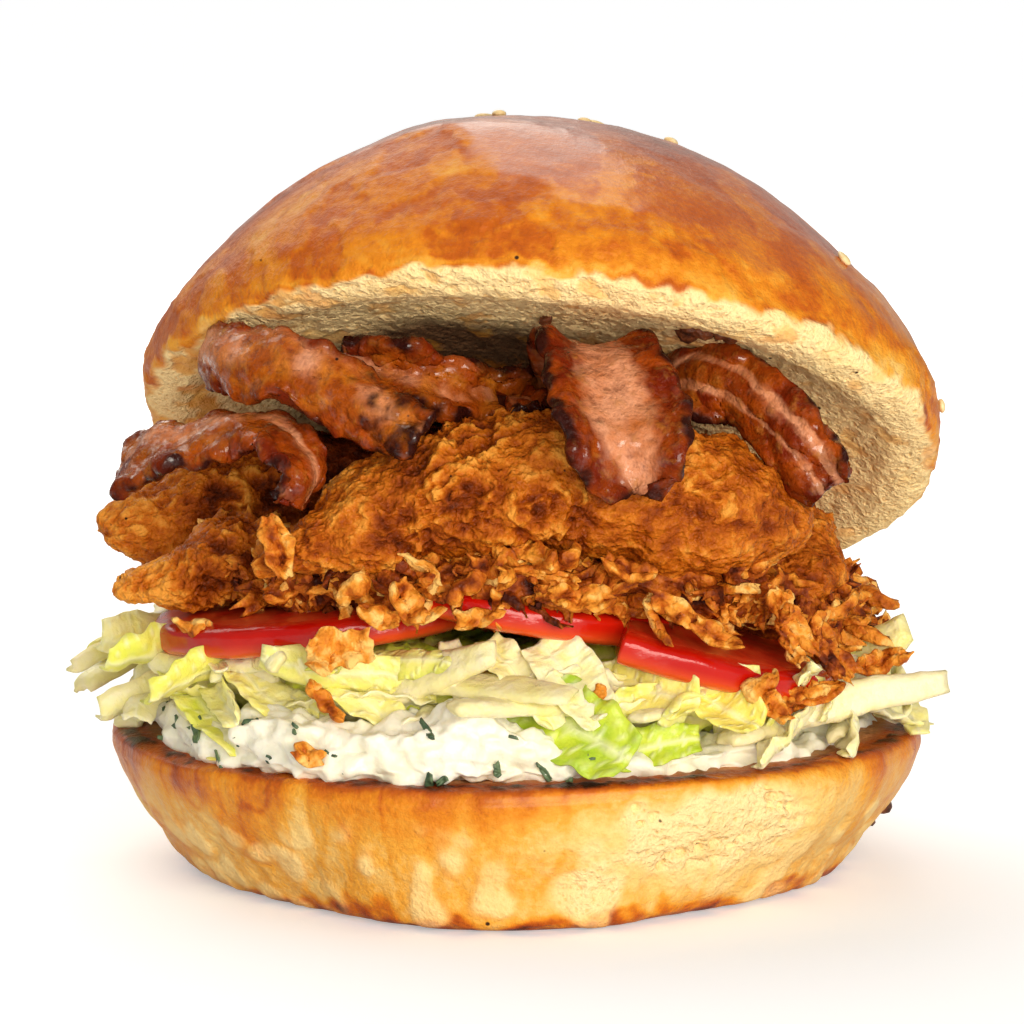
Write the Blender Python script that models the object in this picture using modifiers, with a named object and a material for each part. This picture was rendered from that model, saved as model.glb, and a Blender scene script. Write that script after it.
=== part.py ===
"""Chicken burger: a toasted bun opened towards the front, filled with herb sauce, shredded
lettuce, tomato slices, crispy onions, fried chicken tenders and bacon.

Metres, +Z up. The origin is on the table under the middle of the heel, and the front faces -Y.
"""
import math

import bmesh
import bpy
import numpy as np
from mathutils import Matrix, Vector

MM = 0.001

# Driving sizes of the bun
HEEL_RADIUS = 57.4 * MM
HEEL_HEIGHT = 20.6 * MM
CROWN_RADIUS = 55.9 * MM
CROWN_RISE = 40.9 * MM
CROWN_CENTRE = (3.0 * MM, 0.0, 62.4 * MM)
CROWN_LEAN = math.radians(30.4)
CROWN_ROLL = math.radians(5.8)

# Driving sizes of the filling
SLICE_THICKNESS = 5.2 * MM
TOMATO_CUT = 14.0 * MM
BACON_THICKNESS = 2.0 * MM
SHRED_THICKNESS = 1.0 * MM
FLAKE_THICKNESS = 1.3 * MM
SEED_LENGTH = 3.2 * MM
CONTACT_GAP = 0.4 * MM
MITRE_LIMIT = 1.8

# Profiles as (radius, height), as shares of the radius and height named above
HEEL_PROFILE = (
    (0.0, 0.90), (0.35, 0.91), (0.70, 0.95), (0.92, 1.0), (0.98, 0.99), (1.0, 0.90), (0.99, 0.79),
    (0.963, 0.62), (0.925, 0.45), (0.882, 0.30), (0.845, 0.14), (0.80, 0.03), (0.755, 0.0), (0.4, 0.0),
    (0.0, 0.0),
)
CROWN_PROFILE = (
    (0.0, 1.0), (0.25, 0.968), (0.48, 0.865), (0.69, 0.68), (0.85, 0.45), (0.955, 0.23),
    (1.0, 0.05), (0.98, -0.07), (0.91, -0.09), (0.80, -0.03), (0.5, 0.05), (0.0, 0.09),
)


def mm(*values):
    """The values, given in millimetres, as an array in metres."""
    return np.array(values, float) * MM


def unit(vectors):
    """Each row of an array scaled to length one."""
    vectors = np.asarray(vectors, float)
    return vectors / np.maximum(np.linalg.norm(vectors, axis=-1, keepdims=True), 1e-12)


class Noise:
    """Smooth gradient noise: random slopes on a unit lattice, blended between its corners."""

    def __init__(self, seed):
        rng = np.random.default_rng(seed)
        self.order = rng.permutation(256)
        self.slopes = unit(rng.normal(size=(256, 3)))

    def __call__(self, points, size):
        at = np.asarray(points, float) / size
        low = np.floor(at).astype(int)
        part = at - low
        ease = part ** 3 * (part * (part * 6 - 15) + 10)
        total = np.zeros(len(at))
        for corner in np.ndindex(2, 2, 2):
            cell = (low + corner) & 255
            pick = self.order[(self.order[(self.order[cell[:, 0]] + cell[:, 1]) & 255] + cell[:, 2]) & 255]
            share = np.prod(np.where(corner, ease, 1 - ease), axis=1)
            total += share * np.einsum("ij,ij->i", self.slopes[pick], part - corner)
        return total


noise = Noise(7)


def through(points, share):
    """Smooth curve through the points, read at shares from 0 to 1 of its chord length."""
    points = np.asarray(points, float)
    steps = np.linalg.norm(np.diff(points, axis=0), axis=1)
    knots = np.concatenate([[0.0], np.cumsum(steps)]) / steps.sum()
    slopes = np.gradient(points, knots, axis=0)
    i = np.clip(np.searchsorted(knots, share, side="right") - 1, 0, len(knots) - 2)
    width = (knots[i + 1] - knots[i])[:, None]
    f = ((share - knots[i]) / (knots[i + 1] - knots[i]))[:, None]
    return (
        (2 * f ** 3 - 3 * f ** 2 + 1) * points[i]
        + (f ** 3 - 2 * f ** 2 + f) * width * slopes[i]
        + (3 * f ** 2 - 2 * f ** 3) * points[i + 1]
        + (f ** 3 - f ** 2) * width * slopes[i + 1]
    )


def bump(x, y, centre, reach):
    """A smooth hill of height one, centred at centre = (x, y), with a radius for each axis."""
    return np.exp(-((x - centre[0]) / reach[0]) ** 2 - ((y - centre[1]) / reach[1]) ** 2)


def heel_shape(around, down):
    """Bottom half: the heel profile turned round, its radius swelling a little unevenly."""
    r, z = through(HEEL_PROFILE, down / math.pi).T
    x, y = np.cos(around), np.sin(around)
    swell = 1 + 0.03 * noise(np.column_stack([x, y, z]) + 3.1, 0.55)
    swell += 0.155 * bump(x, y, (-0.07, -1.0), (0.5, 0.3)) * (1 - z) ** 2
    r = r * HEEL_RADIUS * np.where(r > 0.5, swell, 1)
    sag = 0.6 * MM * noise(np.column_stack([r * x, r * y, 0 * r]) + 0.2, 30 * MM)
    return np.column_stack([r * x, r * y, np.maximum(z, 0) * (HEEL_HEIGHT + sag * 2 * (z > 0.3))])


def crown_shape(around, down):
    """Top half in its own frame, cut face down: a dome whose rim curls under the cut face."""
    r, z = through(CROWN_PROFILE, down / math.pi).T
    x, y = np.cos(around), np.sin(around)
    swell = 1 + 0.035 * noise(np.column_stack([x, y, z]) + 8.4, 0.7)
    swell += 0.025 * bump(x, y, (1.0, -0.2), (0.3, 0.5)) * (z < 0.4)
    r = r * CROWN_RADIUS * np.where(r > 0.2, swell, 1)
    z = z * CROWN_RISE + 1.2 * MM * noise(np.column_stack([r * x, r * y, z]) + 5.0, 24 * MM)
    return np.column_stack([r * x, r * y, z])


def slab_shape(around, down, reach, bottom, top, squareness=3.2):
    """A rounded slab: its outline is reach(angle), between the heights bottom(x, y) and top(x, y)."""
    r = reach(around) * np.abs(np.sin(down)) ** (2 / squareness)
    share = np.sign(np.cos(down)) * np.abs(np.cos(down)) ** (2 / squareness)
    x, y = r * np.cos(around), r * np.sin(around)
    low, high = bottom(x, y), top(x, y)
    return np.column_stack([x, y, (high + low) / 2 + share * (high - low) / 2])


def sauce_shape(around, down):
    """Herb sauce: a thin layer on the heel that swells into lobes along the front left."""

    def reach(angle):
        x, y = np.cos(angle), np.sin(angle)
        spill = 6.5 * bump(x, y, (-0.5, -0.85), (0.62, 0.6))
        return (50.5 + spill + 2.4 * noise(np.column_stack([x, y, 0 * x]) + 1.7, 0.32)) * MM

    def bottom(x, y):
        return np.full(len(x), HEEL_HEIGHT - 2.2 * MM)

    def top(x, y):
        lobes = (
            9.0 * bump(x, y, mm(-7, -51), mm(13, 12))
            + 7.6 * bump(x, y, mm(-31, -44), mm(9, 12))
            + 6.0 * bump(x, y, mm(-49, -24), mm(9, 12))
            + 2.2 * bump(x, y, mm(32, -44), mm(12, 8))
        )
        ripple = 0.9 * noise(np.column_stack([x, y, 0 * x]), 8 * MM)
        return HEEL_HEIGHT + (2.4 + lobes + ripple) * MM

    return slab_shape(around, down, reach, bottom, top, 4.6)


def lettuce_core_shape(around, down):
    """The inside of the lettuce heap, high at the front and low at the back."""

    def reach(angle):
        x, y = np.cos(angle), np.sin(angle)
        return (51.0 + 4 * noise(np.column_stack([x, y, 0 * x]) + 6.3, 0.4) - 4.5 * np.clip(-y, 0, 1)) * MM

    def bottom(x, y):
        return np.full(len(x), HEEL_HEIGHT + 1.5 * MM)

    def top(x, y):
        ripple = 3.0 * noise(np.column_stack([x, y, 0 * x]) + 2.0, 14 * MM)
        return (34.0 - 0.07 * y / MM - 0.04 * x / MM + ripple) * MM

    return slab_shape(around, down, reach, bottom, top, 3.4)


def onion_core_shape(around, down):
    """The inside of the crispy onions, between the tomato and the chicken."""

    def reach(angle):
        x, y = np.cos(angle), np.sin(angle)
        right = np.clip(x, 0, 1) ** 2
        return (46.0 + 5 * noise(np.column_stack([x, y, 0 * x]) + 4.4, 0.4) + 4 * right) * MM

    def bottom(x, y):
        right = 10 * bump(x, y, mm(50, -12), mm(14, 26))
        return (34.4 - 0.10 * y / MM - right) * MM

    def top(x, y):
        ripple = 2.5 * noise(np.column_stack([x, y, 0 * x]) + 9.0, 11 * MM)
        return (45.4 - 0.17 * y / MM - 0.05 * x / MM + ripple) * MM

    return slab_shape(around, down, reach, bottom, top, 2.8)


# Each tender: points of its middle line, then half widths and half heights along it, in millimetres
TENDERS = {
    "chicken_front": (
        (
            (-35, -43, 47.9), (-27, -42, 51.4), (-13, -38, 56.4), (1, -36, 58), (14, -35, 57.4),
            (26, -34, 55.4), (40, -31, 52.4),
        ),
        (4.5, 8, 11.5, 13.5, 14, 13.5, 9),
        (4.5, 6.5, 8.5, 9.8, 10.5, 11.2, 8.5),
    ),
    "chicken_left": (
        ((-58, -12, 48.4), (-49, -8, 49.9), (-36, -2, 51.4), (-14, 3, 51), (8, 4, 51), (27, 0, 51)),
        (7.5, 10.5, 13, 14, 14, 9),
        (8, 8.5, 9.5, 10, 10, 7),
    ),
    "chicken_finger": (
        ((-55.5, -26, 41.9), (-47, -25.5, 43.9), (-39, -24, 46.4), (-30, -22, 48.4)),
        (3.4, 5, 6, 5),
        (3, 4, 5.5, 5),
    ),
    "chicken_right": (
        ((40, -29, 42.9), (38, -18, 44.4), (33, -4, 45.4), (27, 10, 43.4), (21, 22, 39.4)),
        (7, 9.5, 13, 12, 8),
        (5, 8.5, 8.5, 8, 6),
    ),
    "chicken_back": (
        ((-32, 26, 35.9), (-16, 29, 36.4), (2, 31, 35.9), (18, 30, 35.4)),
        (8, 10, 10, 8),
        (5, 6, 6, 5),
    ),
}


def tender_shape(around, down, line, half_widths, half_heights):
    """A tender: ellipses carried along its middle line, closed by blunt ends, with a craggy crust."""
    share = (1 - np.cos(down)) / 2
    girth = np.sin(down) ** 0.75
    middle = through(mm(*line), share)
    ahead = through(mm(*line), np.clip(share + 0.02, 0, 1)) - through(mm(*line), np.clip(share - 0.02, 0, 1))
    knots = np.linspace(0, 1, len(half_widths))
    wide = np.interp(share, knots, half_widths) * girth * MM
    high = np.interp(share, knots, half_heights) * girth * MM
    along = unit(ahead)
    side = unit(np.cross(along, [0.0, 0.0, 1.0]))
    up = np.cross(side, along)
    out = side * (wide * np.cos(around))[:, None] + up * (high * np.sin(around))[:, None]
    point = middle + out
    away = unit(out + along * (-np.cos(down) * 0.5 * (wide + high) * np.abs(np.cos(down)) ** 3)[:, None])
    lumps = 2.6 * noise(point, 11 * MM) - 1.6 * np.abs(noise(point + 0.3, 6.5 * MM)) + 0.5
    return point + away * (lumps * MM)[:, None]


# Each rasher: points of its middle line, the way across it, and its width at both ends, in millimetres
RASHERS = {
    "bacon_front": (
        (
            (7, 8, 58.4), (8, -8, 65.4), (9, -24, 72.9), (10.5, -35, 77.4), (12.5, -44, 75.9),
            (14.5, -50.8, 69.4), (15.5, -53.5, 63.4), (16, -53.4, 58.9),
        ),
        ((0.97, 0.1, 0.2), (0.98, 0.05, -0.15)),
        (12, 16),
    ),
    "bacon_top_left": (
        (
            (-20, -6, 68.4), (-33, -14, 72.9), (-39.5, -26, 74.4), (-36, -34.5, 74.9),
            (-27, -39.5, 72.9), (-19, -43, 68.9), (-11.5, -46.5, 65.4),
        ),
        ((0.2, 0.3, 0.93), (0.25, 0.35, 0.9)),
        (12, 9.5),
    ),
    "bacon_top_back": (
        ((6, -10, 64.4), (3, -24, 68.4), (-5, -31.5, 70.9), (-14, -33.5, 72.9), (-24, -33, 74.9)),
        ((0.2, 0.5, 0.85), (0.15, 0.35, 0.92)),
        (9, 9),
    ),
    "bacon_low_left": (
        (
            (-52.5, -29, 58.4), (-46.5, -32.5, 62.4), (-39, -35, 64.9), (-32.5, -38, 64.4),
            (-29.2, -41.5, 60.9), (-30.5, -42.5, 56.6),
        ),
        ((0.3, 0.62, 0.72), (0.55, 0.8, 0.2)),
        (13, 8),
    ),
    "bacon_right": (
        (
            (15, -10, 65.9), (21, -22, 69.4), (28, -28.5, 71.4), (34, -33, 68.4), (39, -36, 62.9),
            (42.5, -37, 57.9),
        ),
        ((-0.75, 0.45, -0.5), (-0.7, 0.3, -0.65)),
        (12, 10.5),
    ),
    "bacon_middle": (
        ((-2, 2, 61.9), (-1.5, -14, 66.4), (0, -27, 69.2), (4.5, -34, 69)),
        ((0.9, 0.1, 0.3), (0.85, 0.45, 0.2)),
        (9, 6),
    ),
}


def ribbon_frame(line, across, share):
    """Along a ribbon: its middle, the way across it and the way out of its face."""
    middle = through(line, share)
    ahead = through(line, np.clip(share + 0.01, 0, 1)) - through(line, np.clip(share - 0.01, 0, 1))
    turn = share[:, None]
    side = unit(unit(across[0]) * (1 - turn) + unit(across[1]) * turn)
    side = unit(side - unit(ahead) * np.einsum("ij,ij->i", side, unit(ahead))[:, None])
    return middle, side, np.cross(unit(ahead), side)


def rasher_shape(share, width_share, line, across, widths):
    """A rasher: a ribbon whose face waves along its length and whose edges ruffle."""
    middle, side, face = ribbon_frame(mm(*line), across, share)
    width = np.interp(share, (0, 1), widths) * (1 + 0.5 * noise(middle, 13 * MM)) * MM
    length = np.linalg.norm(np.diff(mm(*line), axis=0), axis=1).sum()
    wave = 1.1 * np.sin(share * length / (3.4 * MM)) * (0.3 + 2.6 * width_share ** 2)
    bow = 1.1 * (width_share ** 2 * 4 - 1)
    return middle + side * (width * width_share)[:, None] + face * ((wave + bow) * MM)[:, None]


def collection(name):
    made = bpy.data.collections.new(name)
    bpy.context.scene.collection.children.link(made)
    return made


def material(name, colour, roughness):
    """A plain Principled finish."""
    made = bpy.data.materials.new(name)
    made.use_nodes = True
    shader = made.node_tree.nodes["Principled BSDF"]
    shader.inputs["Base Color"].default_value = (*colour, 1)
    shader.inputs["Roughness"].default_value = roughness
    shader.inputs["Metallic"].default_value = 0
    return made


def add(name, mesh, into, finish=None):
    """A new object for the mesh, in a collection, with its finish."""
    made = bpy.data.objects.new(name, mesh)
    into.objects.link(made)
    if finish is not None:
        made.data.materials.append(finish)
    return made


def reshaped(name, form, shape):
    """The bmesh as a mesh of triangles, each vertex moved to where shape puts its old place."""
    places = np.array([v.co for v in form.verts])
    for vertex, place in zip(form.verts, shape(places)):
        vertex.co = place
    bmesh.ops.triangulate(form, faces=form.faces)
    mesh = bpy.data.meshes.new(name)
    form.to_mesh(mesh)
    form.free()
    mesh.shade_smooth()
    return mesh


def round_mesh(name, shape, segments, rings):
    """A UV sphere reshaped by shape(angle around, angle down from the top)."""
    form = bmesh.new()
    bmesh.ops.create_uvsphere(form, u_segments=segments, v_segments=rings, radius=1)

    def place(points):
        around = np.arctan2(points[:, 1], points[:, 0])
        down = np.arccos(np.clip(points[:, 2], -1, 1))
        return shape(around, down)

    return reshaped(name, form, place)


def ribbon_mesh(name, shape, steps_along, steps_across):
    """A flat grid reshaped by shape(share of the length, share of the width from -0.5 to 0.5)."""
    form = bmesh.new()
    bmesh.ops.create_grid(form, x_segments=steps_along, y_segments=steps_across, size=0.5)
    return reshaped(name, form, lambda points: shape(points[:, 0] + 0.5, points[:, 1]))


def thicken(obj, thickness):
    shell = obj.modifiers.new("thickness", "SOLIDIFY")
    shell.thickness = thickness
    shell.offset = 0


def settle(obj):
    """Applies the object's modifiers and keeps its largest closed body."""
    graph = bpy.context.evaluated_depsgraph_get()
    mesh = bpy.data.meshes.new_from_object(obj.evaluated_get(graph))
    obj.modifiers.clear()
    obj.data = mesh
    form = bmesh.new()
    form.from_mesh(mesh)
    keep_largest(form)
    form.to_mesh(mesh)
    form.free()
    mesh.set_sharp_from_angle(angle=math.radians(50))


def keep_largest(form):
    """Deletes every body but the one with the greatest volume."""
    left = set(form.verts)
    bodies = []
    while left:
        found = {left.pop()}
        edge = set(found)
        while edge:
            edge = {e.other_vert(v) for v in edge for e in v.link_edges} - found
            found |= edge
        left -= found
        bodies.append(found)
    bodies.sort(key=body_volume)
    loose = [v for body in bodies[:-1] for v in body]
    bmesh.ops.delete(form, geom=loose, context="VERTS")


def body_volume(body):
    faces = {f for v in body for f in v.link_faces}
    total = 0.0
    for face in faces:
        corners = [v.co for v in face.verts]
        for second, third in zip(corners[1:], corners[2:]):
            total += corners[0].dot(second.cross(third)) / 6
    return total


def grown(obj, cutters):
    """A cutter: the object's shape with every face moved out by the contact gap."""
    bpy.context.view_layer.update()
    graph = bpy.context.evaluated_depsgraph_get()
    mesh = bpy.data.meshes.new_from_object(obj.evaluated_get(graph))
    mesh.transform(obj.matrix_world)
    form = bmesh.new()
    form.from_mesh(mesh)
    form.normal_update()
    moves = [(v, v.normal * CONTACT_GAP * min(v.calc_shell_factor(), MITRE_LIMIT)) for v in form.verts]
    for vertex, move in moves:
        vertex.co += move
    form.to_mesh(mesh)
    form.free()
    cutter = add(obj.name + "_room", mesh, cutters)
    cutter.hide_render = True
    cutter.display_type = "WIRE"
    return cutter


def carve(obj, others, rooms):
    """Cuts the object back from the room of each of the others."""
    for other in others:
        cut = obj.modifiers.new("clear_" + other.name, "BOOLEAN")
        cut.operation = "DIFFERENCE"
        cut.solver = "MANIFOLD"
        cut.object = rooms[other.name]
    settle(obj)


def fuse(obj, pieces):
    """Joins the collection's pieces to the object as one solid, and removes them."""
    joint = obj.modifiers.new("fused_pieces", "BOOLEAN")
    joint.operation = "UNION"
    joint.operand_type = "COLLECTION"
    joint.solver = "MANIFOLD"
    joint.collection = pieces
    settle(obj)
    for piece in list(pieces.objects):
        bpy.data.objects.remove(piece)
    bpy.data.collections.remove(pieces)


def place_crown(obj):
    """Leans the crown back and rolls its right side down."""
    turn = Matrix.Rotation(CROWN_ROLL, 4, "Y") @ Matrix.Rotation(-CROWN_LEAN, 4, "X")
    obj.matrix_world = Matrix.Translation(CROWN_CENTRE) @ turn


# Sesame seeds on the crown, as degrees around it and degrees down along its profile
SEEDS = ((-118, 16), (-100, 10), (-70, 12), (-58, 24), (-28, 52), (2, 70), (70, 25), (130, 34), (-160, 40))


def make_crown(burger, finishes):
    crown = add("bun_crown", round_mesh("bun_crown", crown_shape, 32, 16), burger, finishes["crust"])
    seeds = collection("seeds")
    for number, (around, down) in enumerate(SEEDS):
        form = bmesh.new()
        bmesh.ops.create_icosphere(form, subdivisions=1, radius=SEED_LENGTH / 2)
        mesh = reshaped("seed", form, lambda points: points * (1, 0.62, 0.36))
        seed = add(f"seed_{number}", mesh, seeds)
        spot = crown_shape(np.radians([around]), np.radians([down]))[0]
        seed.location = spot
        seed.rotation_euler = Vector(spot).to_track_quat("Z", "X").to_euler()
    fuse(crown, seeds)
    place_crown(crown)
    return crown


def make_tomato(name, centre, radius, lean, roll, burger, finishes):
    """One slice: a bevelled disc, leaning round X and rolled round Y."""
    form = bmesh.new()
    bmesh.ops.create_cone(
        form, cap_ends=True, segments=28, radius1=radius * MM, radius2=radius * MM, depth=SLICE_THICKNESS
    )
    mesh = bpy.data.meshes.new(name)
    form.to_mesh(mesh)
    form.free()
    mesh.shade_smooth()
    mesh.set_sharp_from_angle(angle=math.radians(50))
    tomato = add(name, mesh, burger, finishes["tomato"])
    edge = tomato.modifiers.new("rounded_edge", "BEVEL")
    edge.width = 1.2 * MM
    edge.segments = 1
    edge.limit_method = "ANGLE"
    tomato.location = mm(*centre)
    tomato.rotation_euler = (math.radians(lean), math.radians(roll), 0)
    return tomato


def halve(tomato, cutters):
    """Cuts away the part of a slice on the left of TOMATO_CUT."""
    form = bmesh.new()
    bmesh.ops.create_cube(form, size=4 * HEEL_RADIUS)
    mesh = bpy.data.meshes.new("half")
    form.to_mesh(mesh)
    form.free()
    cutter = add(tomato.name + "_half", mesh, cutters)
    cutter.location = (TOMATO_CUT - 2 * HEEL_RADIUS, 0, 0)
    cutter.hide_render = True
    cutter.display_type = "WIRE"
    cut = tomato.modifiers.new("half", "BOOLEAN")
    cut.operation = "DIFFERENCE"
    cut.solver = "MANIFOLD"
    cut.object = cutter


def shred_shape(share, width_share, start, heading, length, width, droop, curl):
    """A lettuce shred: a narrow ribbon that droops along its length and curls across it."""
    flat = unit([heading[0], heading[1], 0.0])
    side = np.array([-flat[1], flat[0], 0.0])
    s = share[:, None]
    middle = start + unit(heading) * length * s - np.array([0, 0, 1.0]) * droop * s ** 2
    taper = 0.35 + 0.65 * np.sin(math.pi * np.clip(share * 0.9 + 0.08, 0, 1)) ** 0.6
    lift = curl * width_share ** 2 * 4 + 0.8 * MM * np.sin(share * 9 + start[0] / MM)
    tilt = unit(side + np.array([0, 0, 0.7]))
    return middle + tilt * (width * width_share * taper)[:, None] + np.array([0, 0, 1.0]) * lift[:, None]


# Lettuce that stands out in the heap: start, heading, length, width, droop, curl, in millimetres
SHREDS = (
    ((-23, -38, 28), (19, -12, 9), 26, 6, 0, 0.8),
    ((-7, -42, 37), (5, -8, -12), 15, 4.5, 0, 0.6),
    ((3, -42, 36), (8, -9, -9), 16, 7, 0, 1.2),
    ((0, -43, 30), (17, -10, -6), 20, 7.5, -1, 1.5),
    ((8, -43, 25), (18, -3, 1), 19, 5.5, 0, 1.0),
    ((12, -41, 32), (14, -8, -1), 16, 6, 1, 1.2),
    ((23, -38, 31), (8, -9, -6), 15, 5, 0, 1.0),
    ((27, -37, 25), (32, 14, 4), 36, 6, 0, 0.8),
    ((-45, -10, 30), (-13, -5, 3), 15, 6.5, 1, 1.5),
    ((-40, -21, 31), (-17, -9, 0), 18, 6.5, 2, 1.2),
    ((-34, -29, 31), (-16, -11, -2), 18, 6, 2, 1.2),
    ((-45, -14, 26), (-12, -5, -3), 14, 6, 1, 1.2),
    ((44, -14, 30), (9, -3, 4), 11, 6, 0, 1.0),
)


def scattered_shreds(rng, count):
    """More shreds, lying round the outside of the heap by a seeded draw."""
    for _ in range(count):
        angle = rng.uniform(-0.2, 1.2) * math.pi
        start = lettuce_core_shape(np.array([angle]), np.array([rng.uniform(0.4, 0.62) * math.pi]))[0]
        swing = angle + rng.choice([-1, 1]) * rng.uniform(1.3, 1.75)
        heading = np.array([math.cos(swing), math.sin(swing), rng.uniform(-0.15, 0.12)])
        length, width = mm(rng.uniform(14, 24), rng.uniform(4, 6))
        yield start, heading, length, width, 1.5 * MM, 1.0 * MM


def make_lettuce(burger, finishes):
    core = round_mesh("lettuce", lettuce_core_shape, 24, 8)
    heap = add("lettuce", core, burger, finishes["lettuce"])
    shreds = collection("shreds")
    rng = np.random.default_rng(21)
    named = [(mm(*start), unit(heading), *mm(length, width, droop, curl))
             for start, heading, length, width, droop, curl in SHREDS]
    for number, shred in enumerate([*named, *scattered_shreds(rng, 5)]):
        mesh = ribbon_mesh("shred", lambda s, w, shred=shred: shred_shape(s, w, *shred), 4, 2)
        thicken(add(f"shred_{number}", mesh, shreds), SHRED_THICKNESS)
    fuse(heap, shreds)
    return heap


def flake_shape(share, width_share, centre, turn, length, width, bend):
    """A crispy onion flake: a short curled strip."""
    arc = (share - 0.5) * bend
    x = np.sin(arc) / max(abs(bend), 0.1) * length
    z = (1 - np.cos(arc)) / max(abs(bend), 0.1) * length
    y = width_share * width * (1 - 0.5 * np.abs(share - 0.5))
    return np.column_stack([x, y, z]) @ np.array(turn).T + centre


def scattered_flakes(rng, count):
    """Onion flakes round the outside of the onion heap, most of them at the front, by a seeded draw."""
    for number in range(count):
        angle = math.radians(rng.uniform(-190, 10) if number % 4 else rng.uniform(10, 170))
        spot = onion_core_shape(np.array([angle]), np.array([rng.uniform(0.3, 0.68) * math.pi]))[0]
        centre = spot + mm(0, 0, rng.uniform(-0.5, 0.5))
        spin = Matrix.Rotation(rng.uniform(0, 2 * math.pi), 3, "Z")
        turn = spin @ Matrix.Rotation(rng.uniform(-1, 1), 3, "X")
        yield centre, turn, mm(rng.uniform(7, 11))[0], mm(rng.uniform(3.5, 5.5))[0], rng.uniform(0.4, 1.6)


def make_onions(burger, finishes):
    core = round_mesh("crispy_onions", onion_core_shape, 24, 8)
    heap = add("crispy_onions", core, burger, finishes["onion"])
    flakes = collection("flakes")
    rng = np.random.default_rng(5)
    for number, flake in enumerate(scattered_flakes(rng, 16)):
        mesh = ribbon_mesh("flake", lambda s, w, flake=flake: flake_shape(s, w, *flake), 3, 1)
        thicken(add(f"flake_{number}", mesh, flakes), FLAKE_THICKNESS)
    fuse(heap, flakes)
    return heap


def make_tenders(burger, finishes):
    for name, (line, half_widths, half_heights) in TENDERS.items():
        segments, rings = (20, 18) if name == "chicken_front" else (14, 12)
        mesh = round_mesh(
            name, lambda a, d: tender_shape(a, d, line, half_widths, half_heights), segments, rings
        )
        yield add(name, mesh, burger, finishes["chicken"])


def make_rashers(burger, finishes):
    for name, (line, across, widths) in RASHERS.items():
        mesh = ribbon_mesh(name, lambda s, w: rasher_shape(s, w, line, across, widths), 13, 3)
        rasher = add(name, mesh, burger, finishes["bacon"])
        thicken(rasher, BACON_THICKNESS)
        yield rasher


def main():
    for obj in list(bpy.data.objects):
        bpy.data.objects.remove(obj)
    burger = collection("chicken_burger")
    cutters = collection("cutters")
    finishes = {
        "crust": material("baked_crust", (0.55, 0.22, 0.06), 0.35),
        "sauce": material("herb_sauce", (0.90, 0.88, 0.78), 0.40),
        "lettuce": material("shredded_lettuce", (0.66, 0.72, 0.30), 0.40),
        "tomato": material("tomato_flesh", (0.62, 0.03, 0.01), 0.25),
        "onion": material("fried_onion", (0.56, 0.25, 0.06), 0.55),
        "chicken": material("fried_batter", (0.48, 0.19, 0.04), 0.50),
        "bacon": material("fried_bacon", (0.38, 0.12, 0.05), 0.35),
    }
    heel = add("bun_heel", round_mesh("bun_heel", heel_shape, 38, 14), burger, finishes["crust"])
    sauce = add("herb_sauce", round_mesh("herb_sauce", sauce_shape, 36, 9), burger, finishes["sauce"])
    tomatoes = [
        make_tomato("tomato_left", (-25, -18.5, 38.4), 25.5, -1, -7, burger, finishes),
        make_tomato("tomato_right", (17, -22.5, 37.7), 28, 1, 17, burger, finishes),
        make_tomato("tomato_middle", (0, -20.5, 41.7), 26.5, 0, 10, burger, finishes),
    ]
    halve(tomatoes[1], cutters)
    tenders = list(make_tenders(burger, finishes))
    rashers = list(make_rashers(burger, finishes))
    crown = make_crown(burger, finishes)
    onions = make_onions(burger, finishes)
    lettuce = make_lettuce(burger, finishes)

    pieces = [heel, sauce, *tomatoes, *tenders, *rashers, crown, onions]
    rooms = {piece.name: grown(piece, cutters) for piece in pieces}
    carve(sauce, [heel], rooms)
    for number, slice_ in enumerate(tomatoes):
        carve(slice_, tomatoes[:number], rooms)
    for number, tender in enumerate(tenders):
        carve(tender, tomatoes + tenders[:number], rooms)
    for number, rasher in enumerate(rashers):
        carve(rasher, tenders + rashers[:number], rooms)
    carve(crown, tenders + rashers, rooms)
    carve(onions, [*tomatoes, *tenders, *rashers, crown], rooms)
    carve(lettuce, [heel, sauce, *tomatoes, *tenders, onions, crown], rooms)


if __name__ == "__main__":
    main()
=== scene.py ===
"""Looks of a chicken burger: every piece of its bun and filling, as surfaces worked out by formula.

The file is laid out as an add-on: sizes and colours are properties, and each piece has an operator.
Metres, +Z up, the open front of the bun faces -Y.
"""
import math

import bpy
import numpy as np
from bpy.props import FloatProperty, FloatVectorProperty, IntProperty, PointerProperty
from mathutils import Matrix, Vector


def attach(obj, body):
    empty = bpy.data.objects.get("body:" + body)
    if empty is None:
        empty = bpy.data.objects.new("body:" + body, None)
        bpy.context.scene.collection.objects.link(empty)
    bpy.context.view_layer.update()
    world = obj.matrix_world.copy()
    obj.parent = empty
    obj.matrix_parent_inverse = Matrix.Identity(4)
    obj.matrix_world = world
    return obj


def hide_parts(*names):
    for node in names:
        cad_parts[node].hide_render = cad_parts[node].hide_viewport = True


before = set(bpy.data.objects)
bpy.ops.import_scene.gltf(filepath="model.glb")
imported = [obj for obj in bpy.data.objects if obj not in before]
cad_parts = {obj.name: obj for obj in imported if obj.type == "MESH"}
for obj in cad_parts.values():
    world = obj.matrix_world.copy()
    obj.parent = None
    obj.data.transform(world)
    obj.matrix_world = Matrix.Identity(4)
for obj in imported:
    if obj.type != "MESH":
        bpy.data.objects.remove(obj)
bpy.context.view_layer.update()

bl_info = {
    "name": "Chicken burger",
    "version": (1, 0, 0),
    "blender": (4, 5, 0),
    "location": "3D View > Sidebar > Burger",
    "description": "Builds a chicken burger with bacon, crispy onions, tomato, lettuce and herb sauce",
    "category": "Add Mesh",
}

MM = 0.001
FRONT = -math.pi / 2

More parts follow.
